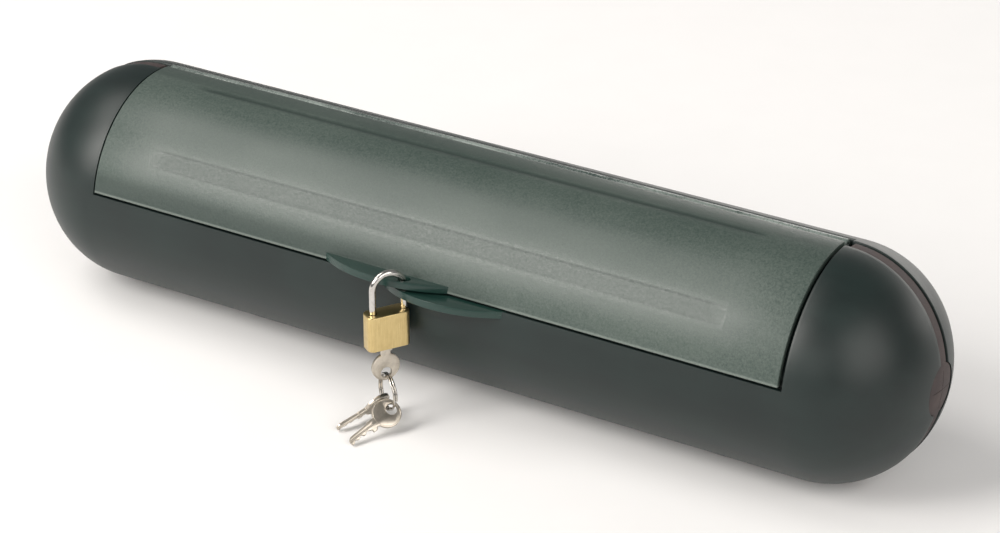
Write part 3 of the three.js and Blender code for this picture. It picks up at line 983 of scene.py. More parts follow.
class Case(Assembly):
    """The back shell, the front shell, and what is moulded to them."""

    screw_places = (
        (-140 * MM, -36 * MM), (-50 * MM, -36 * MM), (50 * MM, -36 * MM), (140 * MM, -36 * MM),
        (-186 * MM, 22 * MM), (186 * MM, 22 * MM),
    )
    screw_head = 3.1 * MM
    head_sink = 4.5 * MM
    boss_radius = 4.6 * MM
    post_radius = 4.0 * MM
    post_bore = 12 * MM
    rail_half = 120 * MM
    rail_height = 2.9 * MM
    rib_x = 100 * MM
    rib_top = 21 * MM
    rib_thick = 3 * MM
    into_wall = 1.5 * MM
    seat_face = 0.01 * MM

    @property
    def mouth(self) -> tuple[Vector, Vector]:
        """The box of the lid's opening: its low and its high corner."""
        s = self.sizes
        return Vector((s.open_left, -FAR, s.open_front)), Vector((s.open_right, FAR, FAR))

    def entry_drill(self) -> bpy.types.Object:
        """A bar along X that opens both ends."""
        return bar("entry_drill", Vector(), self.sizes.entry, 1.0, Axis.X, 72)

    def rail(self, name: str, near: float, far: float) -> bpy.types.Object:
        """A flat foot rail between two y places, in the part's frame."""
        low = Vector((-self.rail_half, near, 0))
        thing = block(name, low, Vector((self.rail_half, far, self.rail_height)))
        round_edges(thing, 0.35 * MM, 2)
        return thing

    def screw_boss(self, name: str, x: float, z: float) -> bpy.types.Object:
        """The sleeve round a screw: a post with a sunk seat for the head."""
        surface = self.sizes.wall_at(x, z, 0)
        top = self.sizes.wall_at(x, z, -self.into_wall)
        start = self.sizes.gap
        centre = Vector((x, (start + top) / 2, z))
        thing = bar(name, centre, self.boss_radius, top - start, Axis.Y, 36)
        seat = surface - self.head_sink
        with editing(thing):
            choose(thing, "FACE", lambda face: (
                middle(face).y > top - self.seat_face and face.normal.y > SIDEWAYS
            ))
            bpy.ops.mesh.inset(thickness=1.2 * MM)
            pull(0, seat - top, 0)
            bpy.ops.mesh.inset(thickness=1.6 * MM)
            pull(0, -2 * MM, 0)
        round_edges(thing, 0.2 * MM, 2)
        return thing

    def post(self, name: str, x: float, z: float) -> bpy.types.Object:
        """The post in the front shell that a screw bites into."""
        reach = self.sizes.wall_at(x, z, -self.into_wall)
        start = 0.1 * MM
        centre = Vector((x, -(reach + start) / 2, z))
        thing = bar(name, centre, self.post_radius, reach - start, Axis.Y, 32)
        with editing(thing):
            choose(thing, "FACE", lambda face: face.normal.y > SIDEWAYS)
            bpy.ops.mesh.inset(thickness=2.2 * MM)
            pull(0, -self.post_bore, 0)
        round_edges(thing, 0.25 * MM, 2)
        return thing

    def rib(self, name: str, x: float, near: float, far: float) -> bpy.types.Object:
        """A rib under the tray: a slice of disc, flat on top, in the part's frame.

        Args:
            name: Its name.
            x: The middle of its thickness.
            near: Its lowest y.
            far: Its highest y.

        Returns:
            The rib.
        """
        middle_at = Vector((x, 0, self.sizes.radius))
        radius = self.sizes.radius - self.into_wall
        thing = bar(name, middle_at, radius, self.rib_thick, Axis.X, 120)
        slice_off(thing, Vector((0, 0, self.rib_top)), Vector((0, 0, 1)))
        slice_off(thing, Vector((0, near, 0)), Vector((0, -1, 0)))
        slice_off(thing, Vector((0, far, 0)), Vector((0, 1, 0)))
        with editing(thing):
            choose(thing, "EDGE", lambda edge: edge.is_boundary)
            bpy.ops.mesh.fill_holes(sides=0)
        round_edges(thing, 0.3 * MM, 2, 60)
        return thing

    def within_wall(self, thing: bpy.types.Object) -> bpy.types.Object:
        """Trims posts that would stand out of the case."""
        limit = Skin(self.sizes, "wall_limit", -0.9 * MM, 96).build()
        carve(thing, limit, "INTERSECT")
        return thing

    def back_shell(self) -> bpy.types.Object:
        """The back half: wall, hinge recess, screw holes and end notches."""
        s = self.sizes
        thing = Skin(s, "back_shell_wall").window(y=(s.seam_back, FAR))
        open_box(thing, Vector((s.open_left, -FAR, 0)), Vector((s.open_right, s.hinge_rim, FAR)))
        thicken(thing, s.wall)
        round_edges(thing, s.edge, 3, 50)
        carve(thing, self.entry_drill())
        for index, (x, z) in enumerate(self.screw_places):
            at = Vector((x, s.wall_at(x, z, 0), z))
            carve(thing, bar(f"head_drill_{index}", at, self.screw_head + s.gap, 9 * MM, Axis.Y, 36))
        bosses = [
            self.screw_boss(f"screw_boss_{index}", x, z)
            for index, (x, z) in enumerate(self.screw_places)
        ]
        return merge_into(thing, self.within_wall(merge_into(*bosses)))

    def front_shell(self) -> bpy.types.Object:
        """The front half with the lid's opening."""
        s = self.sizes
        thing = Skin(s, "front_shell_wall").window(y=(-FAR, s.seam_front))
        open_box(thing, *self.mouth)
        thicken(thing, s.wall)
        round_edges(thing, s.edge, 3, 50)
        carve(thing, self.entry_drill())
        posts = [self.post(f"screw_post_{i}", x, z) for i, (x, z) in enumerate(self.screw_places)]
        return merge_into(thing, self.within_wall(merge_into(*posts)))

    def ledge(self) -> bpy.types.Object:
        """The step inside the opening that the lid closes over."""
        s = self.sizes
        near = s.open_left - 6 * MM
        far = s.open_right + 6 * MM
        span = dict(y=(-FAR, s.seam_front - 0.4 * MM), z=(-7 * MM, FAR))
        step = Skin(s, "lid_ledge", -3.6 * MM, 120).window(x=(near, far), **span)
        low = Vector((s.open_left + 4 * MM, -FAR, 8 * MM))
        open_box(step, low, Vector((s.open_right - 4 * MM, FAR, FAR)))
        thicken(step, 3 * MM)
        round_edges(step, 0.3 * MM, 2, 50)
        foot = Skin(s, "ledge_foot", -2.9 * MM, 120).window(x=(near, far), **span)
        open_box(foot, *self.mouth)
        thicken(foot, 1.4 * MM)
        return merge_into(step, foot)

    def build(self) -> None:
        """Builds the shells, the ledge, the lower lip, the rails and the ribs."""
        s = self.sizes
        tilt = s.leaning
        self.hand_over(self.back_shell(), "case", "case_plastic", "back_shell", frame_of=tilt)
        self.hand_over(self.front_shell(), "case", "case_plastic", "front_shell", frame_of=tilt)
        self.hand_over(self.ledge(), "case", "case_plastic", frame_of=tilt)
        lip = Lip(s, 14.5 * MM, 29 * MM, 11.2 * MM, s.open_front - 3 * MM).build("lower_lip")
        self.hand_over(lip, "case", "case_plastic", frame_of=tilt, angle=40, finish=self.finishes.lip)
        rails = merge_into(
            self.rail("foot_rails", -2.6 * MM, 15 * MM), self.rail("front_rail", -15 * MM, -11.2 * MM),
        )
        self.hand_over(rails, "case", "case_plastic")
        ribs = [
            self.rib(f"tray_rib_{int(x / MM)}_{k}".replace("-", "m"), x, near, far)
            for x in (-self.rib_x, self.rib_x)
            for k, (near, far) in enumerate(((-26 * MM, -12 * MM), (2 * MM, 26 * MM)))
        ]
        self.hand_over(merge_into(*ribs), "case", "case_plastic")


class Lid(Assembly):
    """The lid's panel, its lip and its gasket."""

    press_half: float = 139 * MM
    groove: tuple[float, float] = (12.0, 15.0)
    recess: tuple[float, float] = (57.0, 66.0)
    slope: float = 0.8 * MM
    sunk: float = 0.22 * MM

    def panel(self) -> bpy.types.Object:
        """The curved panel with a groove near the hinge and a long shallow recess pressed into it."""
        s = self.sizes
        thing = Skin(s, "lid_panel").window(
            x=(s.lid_left, s.lid_right), y=(-FAR, s.lid_top), z=(s.lid_front, FAR),
        )
        for end in (self.press_half, self.press_half + 1 * MM):
            for place in (-end, end):
                score(thing, 0, place)
        for limits in (self.groove, self.recess):
            with editing(thing):
                choose(thing, "FACE", lambda face: self.pressed(middle(face), limits))
                bpy.ops.mesh.inset(thickness=self.slope, depth=-self.sunk, use_boundary=True)
        thicken(thing, s.wall)
        round_edges(thing, s.edge, 3, 50)
        return thing

    def pressed(self, point: Vector, limits: tuple[float, float]) -> bool:
        """Says whether a point of the panel lies in a pressed place.

        Args:
            point: The point, in the leaning frame.
            limits: Where the place begins and ends, in degrees down from the top.

        Returns:
            True within it.
        """
        angle = math.degrees(math.atan2(-point.y, point.z))
        return abs(point.x) < self.press_half and limits[0] < angle < limits[1]

    def gasket(self) -> bpy.types.Object:
        """The rubber strip under the lid's front edge."""
        s = self.sizes
        thing = Skin(s, "lid_gasket_strip", -s.wall - s.gap, 96).window(
            x=(s.lid_left + 6 * MM, s.lid_right - 6 * MM), y=(-FAR, 0), z=(9 * MM, 12 * MM),
        )
        thicken(thing, 2.9 * MM)
        round_edges(thing, 0.6 * MM, 3, 50)
        return thing

    def build(self) -> None:
        """Builds the lid's pieces."""
        tilt = self.sizes.leaning
        self.hand_over(self.panel(), "lid", "lid_plastic", "lid", frame_of=tilt)
        lip = Lip(self.sizes, -13 * MM, 30 * MM, 10 * MM, self.sizes.lid_front).build("upper_lip")
        self.hand_over(lip, "lid", "case_plastic", frame_of=tilt, angle=40, finish=self.finishes.lip)
        self.hand_over(self.gasket(), "lid", "seal_rubber", "lid_gasket", frame_of=tilt)


class Hinge(Assembly):
    """Nine knuckles on one pin: the even ones on the back shell, the odd ones on the lid."""

    def knuckle(self, name: str, on_lid: bool) -> bpy.types.Object:
        """One knuckle at the hinge's left end, with its leaf.

        Args:
            name: Its name.
            on_lid: True for a leaf that runs forward to the lid.

        Returns:
            The knuckle.
        """
        s = self.sizes
        pitch = (s.lid_right - s.lid_left) / s.knuckles
        left = s.lid_left + 0.05 * MM
        right = left + pitch - 0.1 * MM
        at = Vector(((left + right) / 2, s.hinge_y, s.hinge_z))
        barrel = bar(name, at, s.hinge_radius, right - left, Axis.X, 40)
        with editing(barrel):
            choose(barrel, "FACE", lambda face: abs(face.normal.x) > SIDEWAYS)
            bpy.ops.mesh.inset(thickness=1.35 * MM, use_individual=True)
            bpy.ops.mesh.delete(type="FACE")
            bpy.ops.mesh.select_all(action="DESELECT")
            choose(barrel, "EDGE", lambda edge: edge.is_boundary)
            bpy.ops.mesh.bridge_edge_loops()
        true_normals(barrel)
        near, far = (0.2 * MM, s.hinge_y) if on_lid else (s.hinge_y, 10 * MM)
        low, high = (-0.4 * MM, 2.1 * MM) if on_lid else (-s.hinge_radius, -0.3 * MM)
        leaf = block("leaf", Vector((left, near, s.hinge_z + low)), Vector((right, far, s.hinge_z + high)))
        drill = bar("pin_drill", at, 1.25 * MM, 1.0, Axis.X, 32)
        carve(leaf, drill)
        round_edges(barrel, 0.1 * MM, 2, 50)
        round_edges(leaf, 0.1 * MM, 2, 50)
        return merge_into(barrel, leaf)

    def build(self) -> None:
        """Builds the knuckles and the pin."""
        s = self.sizes
        pitch = (s.lid_right - s.lid_left) / s.knuckles
        for on_lid in (False, True):
            body = "lid" if on_lid else "case"
            first = self.knuckle(f"{body}_knuckles", on_lid)
            steps = range(3, s.knuckles, 2) if on_lid else range(2, s.knuckles, 2)
            start = 1 if on_lid else 0
            copies = [
                twin(first, f"{body}_knuckle_{k}", Matrix.Translation((pitch * (k - start), 0, 0)))
                for k in steps
            ]
            row = merge_into(first, *copies)
            if on_lid:
                shift(row, Matrix.Translation((pitch, 0, 0)))
            # The knuckles wear the pale copy of the case plastic, with its painted highlight.
            self.hand_over(row, body, "case_plastic", frame_of=s.leaning, finish=self.finishes.hinge)
        pin = bar("pin", Vector(((s.lid_left + s.lid_right) / 2, s.hinge_y, s.hinge_z)), 0.9 * MM,
                  s.lid_right - s.lid_left - 2 * MM, Axis.X, 24)
        round_edges(pin, 0.3 * MM, 3, 50)
        self.hand_over(pin, "case", "steel", "hinge_pin", frame_of=s.leaning)


class Seals(Assembly):
    """Brown rubber in the seam, and the slit membranes over the two ends."""

    recess: float = 0.45 * MM
    step: float = 0.5 * MM
    step_y: float = 3.0 * MM
    depth: float = 4.7 * MM
    slit: float = 0.12 * MM
    slit_reach: float = 8 * MM

    def band(self, name: str, x: tuple[float, float], low_half: bool = False,
             mouth: float = 0.0) -> bpy.types.Object:
        """A length of the seam's strip: a front half, and a back half that lies a step deeper.

        Args:
            name: Its name.
            x: Where it starts and ends.
            low_half: True keeps only what is below the axis.
            mouth: Half the height left open at the case's end, or 0.

        Returns:
            The strip.
        """
        s = self.sizes
        z = (-FAR, 0.0) if low_half else None
        halves = (
            (self.recess, (s.seam_front + s.gap, self.step_y)),
            (self.recess + self.step, (self.step_y - 0.2 * MM, s.seam_back - s.gap)),
        )
        made = []
        for index, (sunk, y) in enumerate(halves):
            half = Skin(s, f"{name}_{index}", -sunk).window(x=x, y=y, z=z)
            if mouth:
                for place in (-mouth, mouth):
                    score(half, 2, place)
                drop_faces(half, lambda point: abs(point.z) < mouth)
            thicken(half, self.depth - sunk)
            round_edges(half, 0.2 * MM, 2, 50)
            made.append(half)
        strip = merge_into(*made)
        strip.name = name
        return strip

    def slit_at(self, point: Vector) -> bool:
        """Says whether a point of the membrane, seen end on, lies in the crossed slits."""
        near, far = sorted((abs(point.y), abs(point.z)))
        return near < self.slit and far < self.slit_reach

    def membrane(self, name: str, side: int) -> bpy.types.Object:
        """The round of rubber in an entry, slit crosswise into four flaps.

        Args:
            name: Its name.
            side: 1 for the right end, -1 for the left one.

        Returns:
            The membrane.
        """
        s = self.sizes
        outer = s.radius - self.recess + 0.06 * MM
        let_go()
        bpy.ops.mesh.primitive_uv_sphere_add(
            segments=72, ring_count=96, radius=outer, rotation=Axis.X.value,
        )
        thing = named(name)
        settle(thing)
        rim = outer * math.sqrt(1 - ((s.entry - s.gap) / outer) ** 2)
        slice_off(thing, Vector((rim, 0, 0)), Vector((-1, 0, 0)))
        for index in (1, 2):
            for place in (-self.slit, self.slit, -self.slit_reach, self.slit_reach):
                score(thing, index, place)
        drop_faces(thing, self.slit_at)
        squash = (s.dome - self.recess) / outer
        place = Matrix.Translation((s.straight, 0, 0)) @ Matrix.Diagonal((squash, 1, 1, 1))
        if side < 0:
            place = Matrix.Rotation(math.pi, 4, "Z") @ place
        shift(thing, place)
        true_normals(thing)
        with editing(thing):
            choose(thing, "FACE", lambda face: True)
            mesh = bmesh.from_edit_mesh(thing.data)
            inward = sum(face.normal.x * side for face in mesh.faces) < 0
            if inward:
                bpy.ops.mesh.flip_normals()
        thicken(thing, 2.4 * MM)
        round_edges(thing, 0.15 * MM, 2, 50)
        return thing

    def end(self, side: int) -> bpy.types.Object:
        """The seal of one end: the strip round the dome and the membrane.

        Args:
            side: 1 for the right end, -1 for the left one.

        Returns:
            The seal.
        """
        s = self.sizes
        start = s.open_right + 2 * MM if side > 0 else -s.open_left + 2 * MM
        x = (start, FAR) if side > 0 else (-FAR, -start)
        name = "right_seal" if side > 0 else "left_seal"
        strip = self.band(name, x, mouth=s.entry - 1.2 * MM)
        return merge_into(strip, self.membrane(f"{name}_membrane", side))

    def build(self) -> None:
        """Builds the two end seals and the strip under the case."""
        s = self.sizes
        for side, node in ((-1, "left_end_seal"), (1, "right_end_seal")):
            self.hand_over(self.end(side), "case", "seal_rubber", node, frame_of=s.leaning)
        span = (s.open_left - 1.5 * MM, s.open_right + 1.5 * MM)
        strip = self.band("under_strip", span, low_half=True)
        self.hand_over(strip, "case", "seal_rubber", "bottom_gasket", frame_of=s.leaning)


class Screws(Assembly):
    """Six cross-head screws driven from the back."""

    def model(self) -> bpy.types.Object:
        """One screw at the origin, its head's seat at y = 0."""
        head = bar("case_screw", Vector((0, 1.0 * MM, 0)), Case.screw_head, 2.0 * MM, Axis.Y, 40)
        with editing(head):
            choose(head, "FACE", lambda face: face.normal.y < -SIDEWAYS)
            bpy.ops.mesh.inset(thickness=Case.screw_head - 1.5 * MM)
            pull(0, -22 * MM, 0)
            bpy.ops.mesh.inset(thickness=0.7 * MM)
            pull(0, -1.5 * MM, 0)
        round_edges(head, 0.55 * MM, 3, 60)
        for turn in (0.0, math.pi / 2):
            slot = block("slot", Vector((-1.7, 1.0, -0.35)) * MM, Vector((1.7, 3.0, 0.35)) * MM)
            shift(slot, Matrix.Rotation(turn, 4, "Y"))
            carve(head, slot)
        return head

    def build(self) -> None:
        """Copies the screw to its six places."""
        s = self.sizes
        first = self.model()
        for index, (x, z) in enumerate(Case.screw_places):
            seat = s.wall_at(x, z, 0) - Case.head_sink + s.gap
            place = Matrix.Translation((x, seat, z)) @ Matrix.Rotation(0.7 * index, 4, "Y")
            screw = twin(first, f"screw_{index + 1}", place)
            self.hand_over(screw, "case", "steel", f"case_screw_{index + 1}", frame_of=s.leaning)
        bpy.data.objects.remove(first)


@dataclass(frozen=True)
class BaitSizes:
    """Sizes of the tray, the rods and the blocks, from the case's axis."""

    half_length: float = 120 * MM
    half_width: float = 21 * MM
    floor: float = -28.7 * MM
    side: float = 12 * MM
    end: float = 22 * MM
    wall: float = 2 * MM
    rod_radius: float = 1.75 * MM
    rod_y: float = 10.2 * MM
    rod_z: float = -17.1 * MM
    knob: float = 4 * MM
    block_length: float = 46 * MM
    block_width: float = 16 * MM
    block_height: float = 18 * MM
    block_x: float = 60 * MM
    groove_pitch: float = 8.5 * MM
    groove_half: float = 1.1 * MM


class Bait(Assembly):
    """The tray with its blocks of bait on two rods."""

    bait = BaitSizes()

    def tray(self) -> bpy.types.Object:
        """The trough with its three cross walls."""
        b = self.bait
        low = Vector((-b.half_length, -b.half_width, b.floor))
        high = Vector((b.half_length, b.half_width, b.floor + b.side))
        trough = block("bait_trough", low, high)
        with editing(trough):
            choose(trough, "FACE", lambda face: face.normal.z > SIDEWAYS)
            bpy.ops.mesh.inset(thickness=b.wall)
            drop = -(b.side - b.wall)
            pull(0, 0, drop)
        round_edges(trough, 0.5 * MM, 3)
        walls = []
        for index, x in enumerate((-b.half_length, -b.wall / 2, b.half_length - b.wall)):
            low = Vector((x + 0.01 * MM, -b.half_width + 1 * MM, b.floor + 1 * MM))
            high = Vector((x + b.wall - 0.01 * MM, b.half_width - 1 * MM, b.floor + b.end))
            wall = block(f"cross_wall_{index}", low, high)
            for sign in (-1, 1):
                drill = bar("rod_drill", Vector((x, sign * b.rod_y, b.rod_z)), b.rod_radius + 0.4 * MM,
                            9 * MM, Axis.X, 32)
                carve(wall, drill)
            round_edges(wall, 0.4 * MM, 2, 60)
            walls.append(wall)
        return merge_into(trough, *walls)

    def rod(self, name: str, y: float) -> bpy.types.Object:
        """One rod with the disc that it is pulled by."""
        b = self.bait
        left = -b.half_length - 3.6 * MM
        right = b.half_length + 5 * MM
        rod = bar(name, Vector(((left + right) / 2, y, b.rod_z)), b.rod_radius, right - left, Axis.X, 32)
        disc = bar("disc", Vector((left + 1.65 * MM, y, b.rod_z)), b.knob, 3.3 * MM, Axis.X, 40)
        round_edges(rod, 0.5 * MM, 3)
        round_edges(disc, 0.6 * MM, 3)
        return merge_into(rod, disc)

    def bait_block(self, name: str, x: float, y: float) -> bpy.types.Object:
        """One pressed block with grooved faces and a bore for the rod."""
        b = self.bait
        low_z = b.floor + b.wall + self.sizes.gap
        low = Vector((x - b.block_length / 2, y - b.block_width / 2, low_z))
        high = Vector((x + b.block_length / 2, y + b.block_width / 2, low_z + b.block_height))
        thing = block(name, low, high)
        for k in range(-2, 3):
            for edge in (-b.groove_half, b.groove_half):
                score(thing, 0, x + k * b.groove_pitch + edge)
        grooved = lambda face: (
            abs(face.normal.x) < 0.1
            and min(abs(middle(face).x - x - k * b.groove_pitch) for k in range(-2, 3)) < 1 * MM
        )
        with editing(thing):
            choose(thing, "FACE", grooved)
            bpy.ops.transform.shrink_fatten(value=-0.8 * MM)
        round_edges(thing, 0.7 * MM, 3, 25)
        drill = bar("bait_drill", Vector((x, y, b.rod_z)), 2.6 * MM, 90 * MM, Axis.X, 32)
        carve(thing, drill)
        return thing

    def build(self) -> None:
        """Builds the tray, the rods and the four blocks."""
        axis = Matrix.Translation((0, 0, self.sizes.radius))
        b = self.bait
        self.hand_over(self.tray(), "case", "tray_plastic", "bait_tray", frame_of=axis)
        for row, sign in (("front", -1), ("rear", 1)):
            y = sign * b.rod_y
            rod = self.rod(f"{row}_rod", y)
            self.hand_over(rod, f"{row}_rod", "steel", f"{row}_bait_rod", frame_of=axis)
            for end, x in (("left", -b.block_x), ("right", b.block_x)):
                thing = self.bait_block(f"{row}_bait_{end}", x, y)
                self.hand_over(thing, "case", "bait", f"{row}_bait_block_{end}", frame_of=axis)


@dataclass(frozen=True)
class LockSizes:
    """Sizes of the padlock and its keys, in the lock's own frame."""

    turn: float = math.radians(57)
    top: float = 51.3 * MM
    wire: float = 1.45 * MM
    spread: float = 7.1 * MM
    arch: float = 10.5 * MM
    heel: float = 10 * MM
    toe: float = 8 * MM
    width: float = 19 * MM
    height: float = 16 * MM
    thick: float = 8.4 * MM
    corner: float = 2.6 * MM
    middle_x: float = -1.0 * MM
    plug_radius: float = 2.7 * MM
    plug_x: float = -1.8 * MM
    plug_top: float = -4.5 * MM
    bow: float = 6.3 * MM
    hole: float = 2.5 * MM
    web: float = 1.1 * MM
    key_thick: float = 1.5 * MM
    blade: float = 3.4 * MM
    reach: float = 20.6 * MM
    ring_wire: float = 0.5 * MM
    ring_pitch: float = 1.06 * MM
    slack: float = 1.0 * MM

    @property
    def eye(self) -> float:
        """How far the eye is from the middle of the bow."""
        return self.bow - self.web - self.hole


class Padlock(Assembly):
    """A small brass padlock through both lips, with one key in it."""

    lock = LockSizes()

    @property
    def standing(self) -> Matrix:
        """From the lock's frame to the part's."""
        s = self.sizes
        k = self.lock
        at = Vector((s.lip_hole.x, s.lip_hole.y, s.open_front + 0.5 * MM))
        at = Matrix.Rotation(-s.lean, 3, "X") @ at
        apart = Vector((math.cos(k.turn), math.sin(k.turn), 0))
        origin = Vector((at.x, at.y, 0)) - apart * k.spread
        return Matrix.Translation((origin.x, origin.y, k.top)) @ Matrix.Rotation(k.turn, 4, "Z")

    def shackle(self) -> bpy.types.Object:
        """The bow: a round wire drawn up, spun over half a turn and drawn down."""
        k = self.lock
        let_go()
        bpy.ops.mesh.primitive_circle_add(vertices=36, radius=k.wire, fill_type="NGON",
                                          location=(-k.spread, 0, -k.heel))
        thing = named("shackle")
        settle(thing)
        with editing(thing):
            bpy.ops.mesh.select_all(action="SELECT")
            pull(0, 0, k.heel + k.arch)
            bpy.ops.mesh.spin(steps=48, angle=math.pi, center=(0, 0, k.arch), axis=(0, -1, 0))
            pull(0, 0, -(k.arch + k.toe))
        true_normals(thing)
        round_edges(thing, 0.3 * MM, 3, 60)
        low = Vector((k.spread - 2 * MM, -2 * MM, -6.4 * MM))
        notch = block("notch", low, Vector((k.spread - 0.6 * MM, 2 * MM, -2 * MM)))
        carve(thing, notch)
        return thing

    def body(self) -> bpy.types.Object:
        """The brass body with rounded corners, leg holes and the plug's bore."""
        k = self.lock
        low = Vector((k.middle_x - k.width / 2, -k.thick / 2, -k.height))
        thing = block("brass_body", low, Vector((k.middle_x + k.width / 2, k.thick / 2, 0)))
        with editing(thing):
            upright = lambda edge: abs((edge.verts[0].co - edge.verts[1].co).z) > 5 * MM
            choose(thing, "EDGE", upright)
            bpy.ops.mesh.bevel(offset=k.corner, segments=8, profile=0.5)
        round_edges(thing, 0.32 * MM, 3, 60)
        for x, depth in ((-k.spread, 14 * MM), (k.spread, k.toe + 0.8 * MM)):
            drill = bar("leg_drill", Vector((x, 0, -depth / 2 + 1 * MM)), k.wire + 0.3 * MM,
                        depth + 2 * MM, Axis.Z, 36)
            carve(thing, drill)
        bore = bar("plug_drill", Vector((k.plug_x, 0, -k.height / 2 - 3 * MM)), k.plug_radius + 0.25 * MM,
                   k.height - 4 * MM, Axis.Z, 40)
        carve(thing, bore)
        return thing

    def plug(self) -> bpy.types.Object:
        """The plug that the key turns."""
        k = self.lock
        low = -k.height + self.sizes.gap
        thing = bar("key_plug", Vector((k.plug_x, 0, (low + k.plug_top) / 2)), k.plug_radius,
                    k.plug_top - low, Axis.Z, 40)
        round_edges(thing, 0.25 * MM, 2, 50)
        at = Vector((k.plug_x, 0, low))
        way = block("keyway", at + Vector((-2.05, -1.1, -1)) * MM, at + Vector((2.05, 1.1, 10.4)) * MM)
        carve(thing, way)
        return thing

    def build(self) -> None:
        """Builds the shackle, the body and the plug."""
        stand = self.standing
        self.hand_over(self.shackle(), "shackle", "chrome", "lock_shackle", frame_of=stand)
        self.hand_over(self.body(), "padlock", "brass", "lock_body", frame_of=stand)
        self.hand_over(self.plug(), "plug", "brass", "lock_plug", frame_of=stand)


class Keys(Assembly):
    """Three keys and the split ring that joins them."""

    lock = LockSizes()
    loose = {
        "loose_key_a": (Vector((-1.3, -68.5, 7.8)) * MM, Vector((-7.7, -87.8, 1.1)) * MM),
        "loose_key_b": (Vector((-10.2, -62.3, 6.6)) * MM, Vector((-18.5, -80.7, 1.5)) * MM),
    }

    def key(self) -> bpy.types.Object:
        """One key in its own frame: bow on the origin, blade along +Y, flat in XY."""
        k = self.lock
        half = k.blade / 2
        neck = 2.1 * MM
        start = math.asin(neck / k.bow)
        turns = [math.pi / 2 + start + (2 * math.pi - 2 * start) * i / 56 for i in range(57)]
        points = [(k.bow * math.cos(a), k.bow * math.sin(a)) for a in turns]
        points += [(neck, 7.2 * MM), (3 * MM, 7.6 * MM), (3 * MM, 9.6 * MM), (half, 9.6 * MM)]
        depths = (0.9, 0.2, 1.1, 0.4, 0.9, 0.1)
        for index, depth in enumerate(depths):
            along = (11.4 + 1.6 * index) * MM
            points += [(half - depth * MM, along), (half - depth * MM, along + 0.8 * MM)]
        points += [(0.5 * MM, k.reach), (-0.5 * MM, k.reach), (-half, k.reach - 1.4 * MM)]
        points += [(-half, 9.6 * MM), (-neck, 9.6 * MM)]
        thing = outline_plate("key_model", points, k.key_thick)
        carve(thing, bar("eye_drill", Vector((0, -k.eye, 0)), k.hole, 9 * MM, Axis.Z, 40))
        for sign in (-1, 1):
            groove = block("groove", Vector((-0.75, 8.2, -0.3)) * MM, Vector((-0.05, 24, 0.3)) * MM)
            shift(groove, Matrix.Translation((0, 0, sign * k.key_thick / 2)))
            carve(thing, groove)
        round_edges(thing, 0.14 * MM, 2, 40)
        rings = []
        for sign in (-1, 1):
            let_go()
            bpy.ops.mesh.primitive_torus_add(
                major_segments=64, minor_segments=10, major_radius=k.bow - 0.45 * MM, minor_radius=0.16 * MM,
                location=(0, 0, sign * (k.key_thick / 2 - 0.04 * MM)),
            )
            ring = named("raised_rim")
            settle(ring)
            rings.append(ring)
        return merge_into(thing, *rings)

    def ring(self, centre: Vector, radius: float, basis: Matrix) -> bpy.types.Object:
        """The split ring: a wire wound almost twice round.

        Args:
            centre: The ring's centre.
            radius: To the middle of the wire.
            basis: The ring's axes as a matrix.

        Returns:
            The ring, in the part's frame.
        """
        k = self.lock
        turns = 1.92
        let_go()
        bpy.ops.mesh.primitive_circle_add(
            vertices=14, radius=k.ring_wire, fill_type="NOTHING",
            location=(radius, 0, -k.ring_pitch * turns / 2), rotation=Axis.Y.value,
        )
        thing = named("key_ring")
        settle(thing)
        finish_with(thing, "SCREW", axis="Z", angle=2 * math.pi * turns, steps=150, render_steps=150,
                    screw_offset=k.ring_pitch * turns, use_merge_vertices=False)
        with editing(thing):
            choose(thing, "EDGE", lambda edge: edge.is_boundary)
            bpy.ops.mesh.fill_holes(sides=0)
        true_normals(thing)
        shift(thing, Matrix.Translation(centre) @ basis)
        return thing

    def build(self, standing: Matrix) -> None:
        """Builds the keys where they hang and lie, and the ring through their eyes.

        Args:
            standing: From the lock's frame to the part's.
        """
        k = self.lock
        model = self.key()
        drop = k.height + 0.5 * MM + 9.6 * MM
        upright = standing @ Matrix.Translation((k.plug_x, 0, -drop)) @ Matrix.Rotation(math.pi / 2, 4, "X")
        self.hand_over(twin(model, "key_in_lock", upright), "plug", "nickel", "lock_key", angle=40)
        wires = [upright @ Vector((0, -k.eye - k.slack, 0))]
        for bow, tip in self.loose.values():
            wires.append(bow - (tip - bow).normalized() * (k.eye + k.slack))
        ab, ac = wires[1] - wires[0], wires[2] - wires[0]
        normal = ab.cross(ac)
        centre = wires[0] + (
            normal.cross(ab) * ac.length_squared + ac.cross(normal) * ab.length_squared
        ) / (2 * normal.length_squared)
        radius = (centre - wires[0]).length
        normal.normalize()
        out = (wires[0] - centre).normalized()
        side = normal.cross(out)
        basis = Matrix((out, side, normal)).transposed().to_4x4() @ Matrix.Rotation(2.4, 4, "Z")
        self.hand_over(self.ring(centre, radius, basis), "ring", "ring_steel", "split_ring")
        for (name, (bow, tip)), wire_at in zip(self.loose.items(), wires[1:]):
            blade = (tip - bow).normalized()
            wire = normal.cross((wire_at - centre).normalized())
            flat = (wire - blade * wire.dot(blade)).normalized()
            turn = Matrix((blade.cross(flat), blade, flat)).transposed().to_4x4()
            lying = twin(model, name.replace("loose", "spare"), Matrix.Translation(bow) @ turn)
            self.hand_over(lying, name.replace("loose_", ""), "nickel", name, angle=40)
        bpy.data.objects.remove(model)


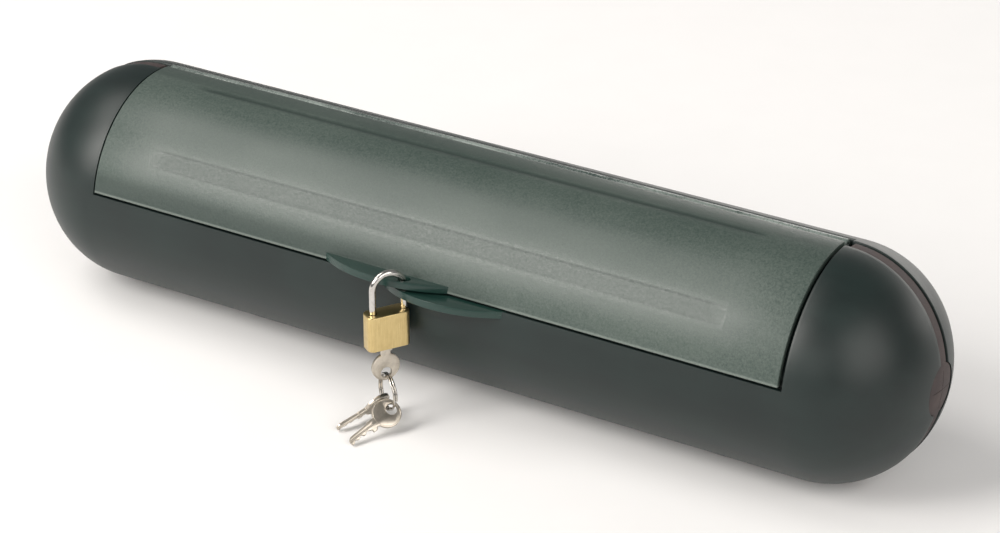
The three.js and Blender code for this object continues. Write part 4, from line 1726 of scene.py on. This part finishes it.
# ------------------------------------------------------------------ the studio
class Studio:
    """A pale floor, soft lights and the camera."""

    def floor(self) -> None:
        """A flat pale floor, wide enough to fill the view."""
        let_go()
        bpy.ops.mesh.primitive_plane_add(size=14.0, location=(0, 0, -0.0004))
        sweep = named("floor")
        settle(sweep)
        recipe = Recipe("pale_floor")
        point = recipe.place()
        speck = recipe.noise(point, 30 * MM, 3.0)
        recipe.feed(
            Base_Color=recipe.mix(speck, paint("EFEFEF"), paint("F2F2F2")), Roughness=0.9,
            Specular_IOR_Level=0.1,
        )
        sweep.data.materials.append(recipe.material)

    def softbox(self, name: str, at: Vector, size: tuple[float, float], power: float,
                aim: Vector = Vector((0, 0, 0.05))) -> None:
        """One rectangular light.

        Args:
            name: Its name.
            at: Where it hangs.
            size: Its width and height.
            power: Its power in watts.
            aim: The point that it faces.
        """
        data = bpy.data.lights.new(name, "AREA")
        data.shape = "RECTANGLE"
        data.size, data.size_y = size
        data.energy = power
        data.color = (1.0, 0.96, 0.92)
        lamp = bpy.data.objects.new(name, data)
        bpy.context.scene.collection.objects.link(lamp)
        lamp.location = at
        lamp.rotation_euler = (at - aim).to_track_quat("Z", "Y").to_euler()

    def world(self, brightness: float) -> None:
        """Even light from all round."""
        world = bpy.data.worlds.new("studio")
        bpy.context.scene.world = world
        world.use_nodes = True
        world.node_tree.nodes["Background"].inputs["Color"].default_value = (1, 1, 1, 1)
        world.node_tree.nodes["Background"].inputs["Strength"].default_value = brightness

    def camera(self) -> None:
        """The camera: a long lens from the front right, looking down."""
        data = bpy.data.cameras.new("camera")
        data.sensor_width = 36.0
        data.lens = 105.23
        data.clip_start = 0.05
        lens = bpy.data.objects.new("camera", data)
        bpy.context.scene.collection.objects.link(lens)
        lens.location = (0.57349, -0.94681, 0.63811)
        lens.rotation_euler = (math.radians(61.868), 0.0, math.radians(30.611))
        bpy.context.scene.camera = lens

    def build(self) -> None:
        """Sets the studio up."""
        bpy.context.scene.view_settings.view_transform = "Standard"
        self.floor()
        self.world(0.22)
        self.softbox("key_light", Vector((-0.92, -1.36, 1.14)), (0.8, 1.2), 33)
        self.softbox("top_light", Vector((-0.95, -0.3, 1.6)), (1.0, 0.9), 12)
        self.softbox("rim_light", Vector((0.4, 1.7, 0.42)), (2.6, 0.7), 18)
        self.softbox("fill_light", Vector((0.35, -1.9, 0.95)), (0.9, 0.9), 5)
        self.softbox("side_light", Vector((2.3, -1.1, 1.5)), (2.2, 2.2), 42)
        self.camera()


def main() -> None:
    """Builds the bait station piece by piece, in order."""
    logging.basicConfig(level=logging.INFO, format="%(message)s")
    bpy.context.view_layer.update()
    finishes = Finishes()
    sizes = CaseSizes()
    for node, slot in (("shackle_spring", "steel"), ("lock_latch", "steel")):
        finishes.dress(frame["nodes"][node], slot)
    Case(finishes, sizes).build()
    Lid(finishes, sizes).build()
    Hinge(finishes, sizes).build()
    Seals(finishes, sizes).build()
    Screws(finishes, sizes).build()
    Bait(finishes, sizes).build()
    padlock = Padlock(finishes, sizes)
    padlock.build()
    Keys(finishes, sizes).build(padlock.standing)
    Studio().build()
    let_go()


if __name__ == "__main__":
    main()
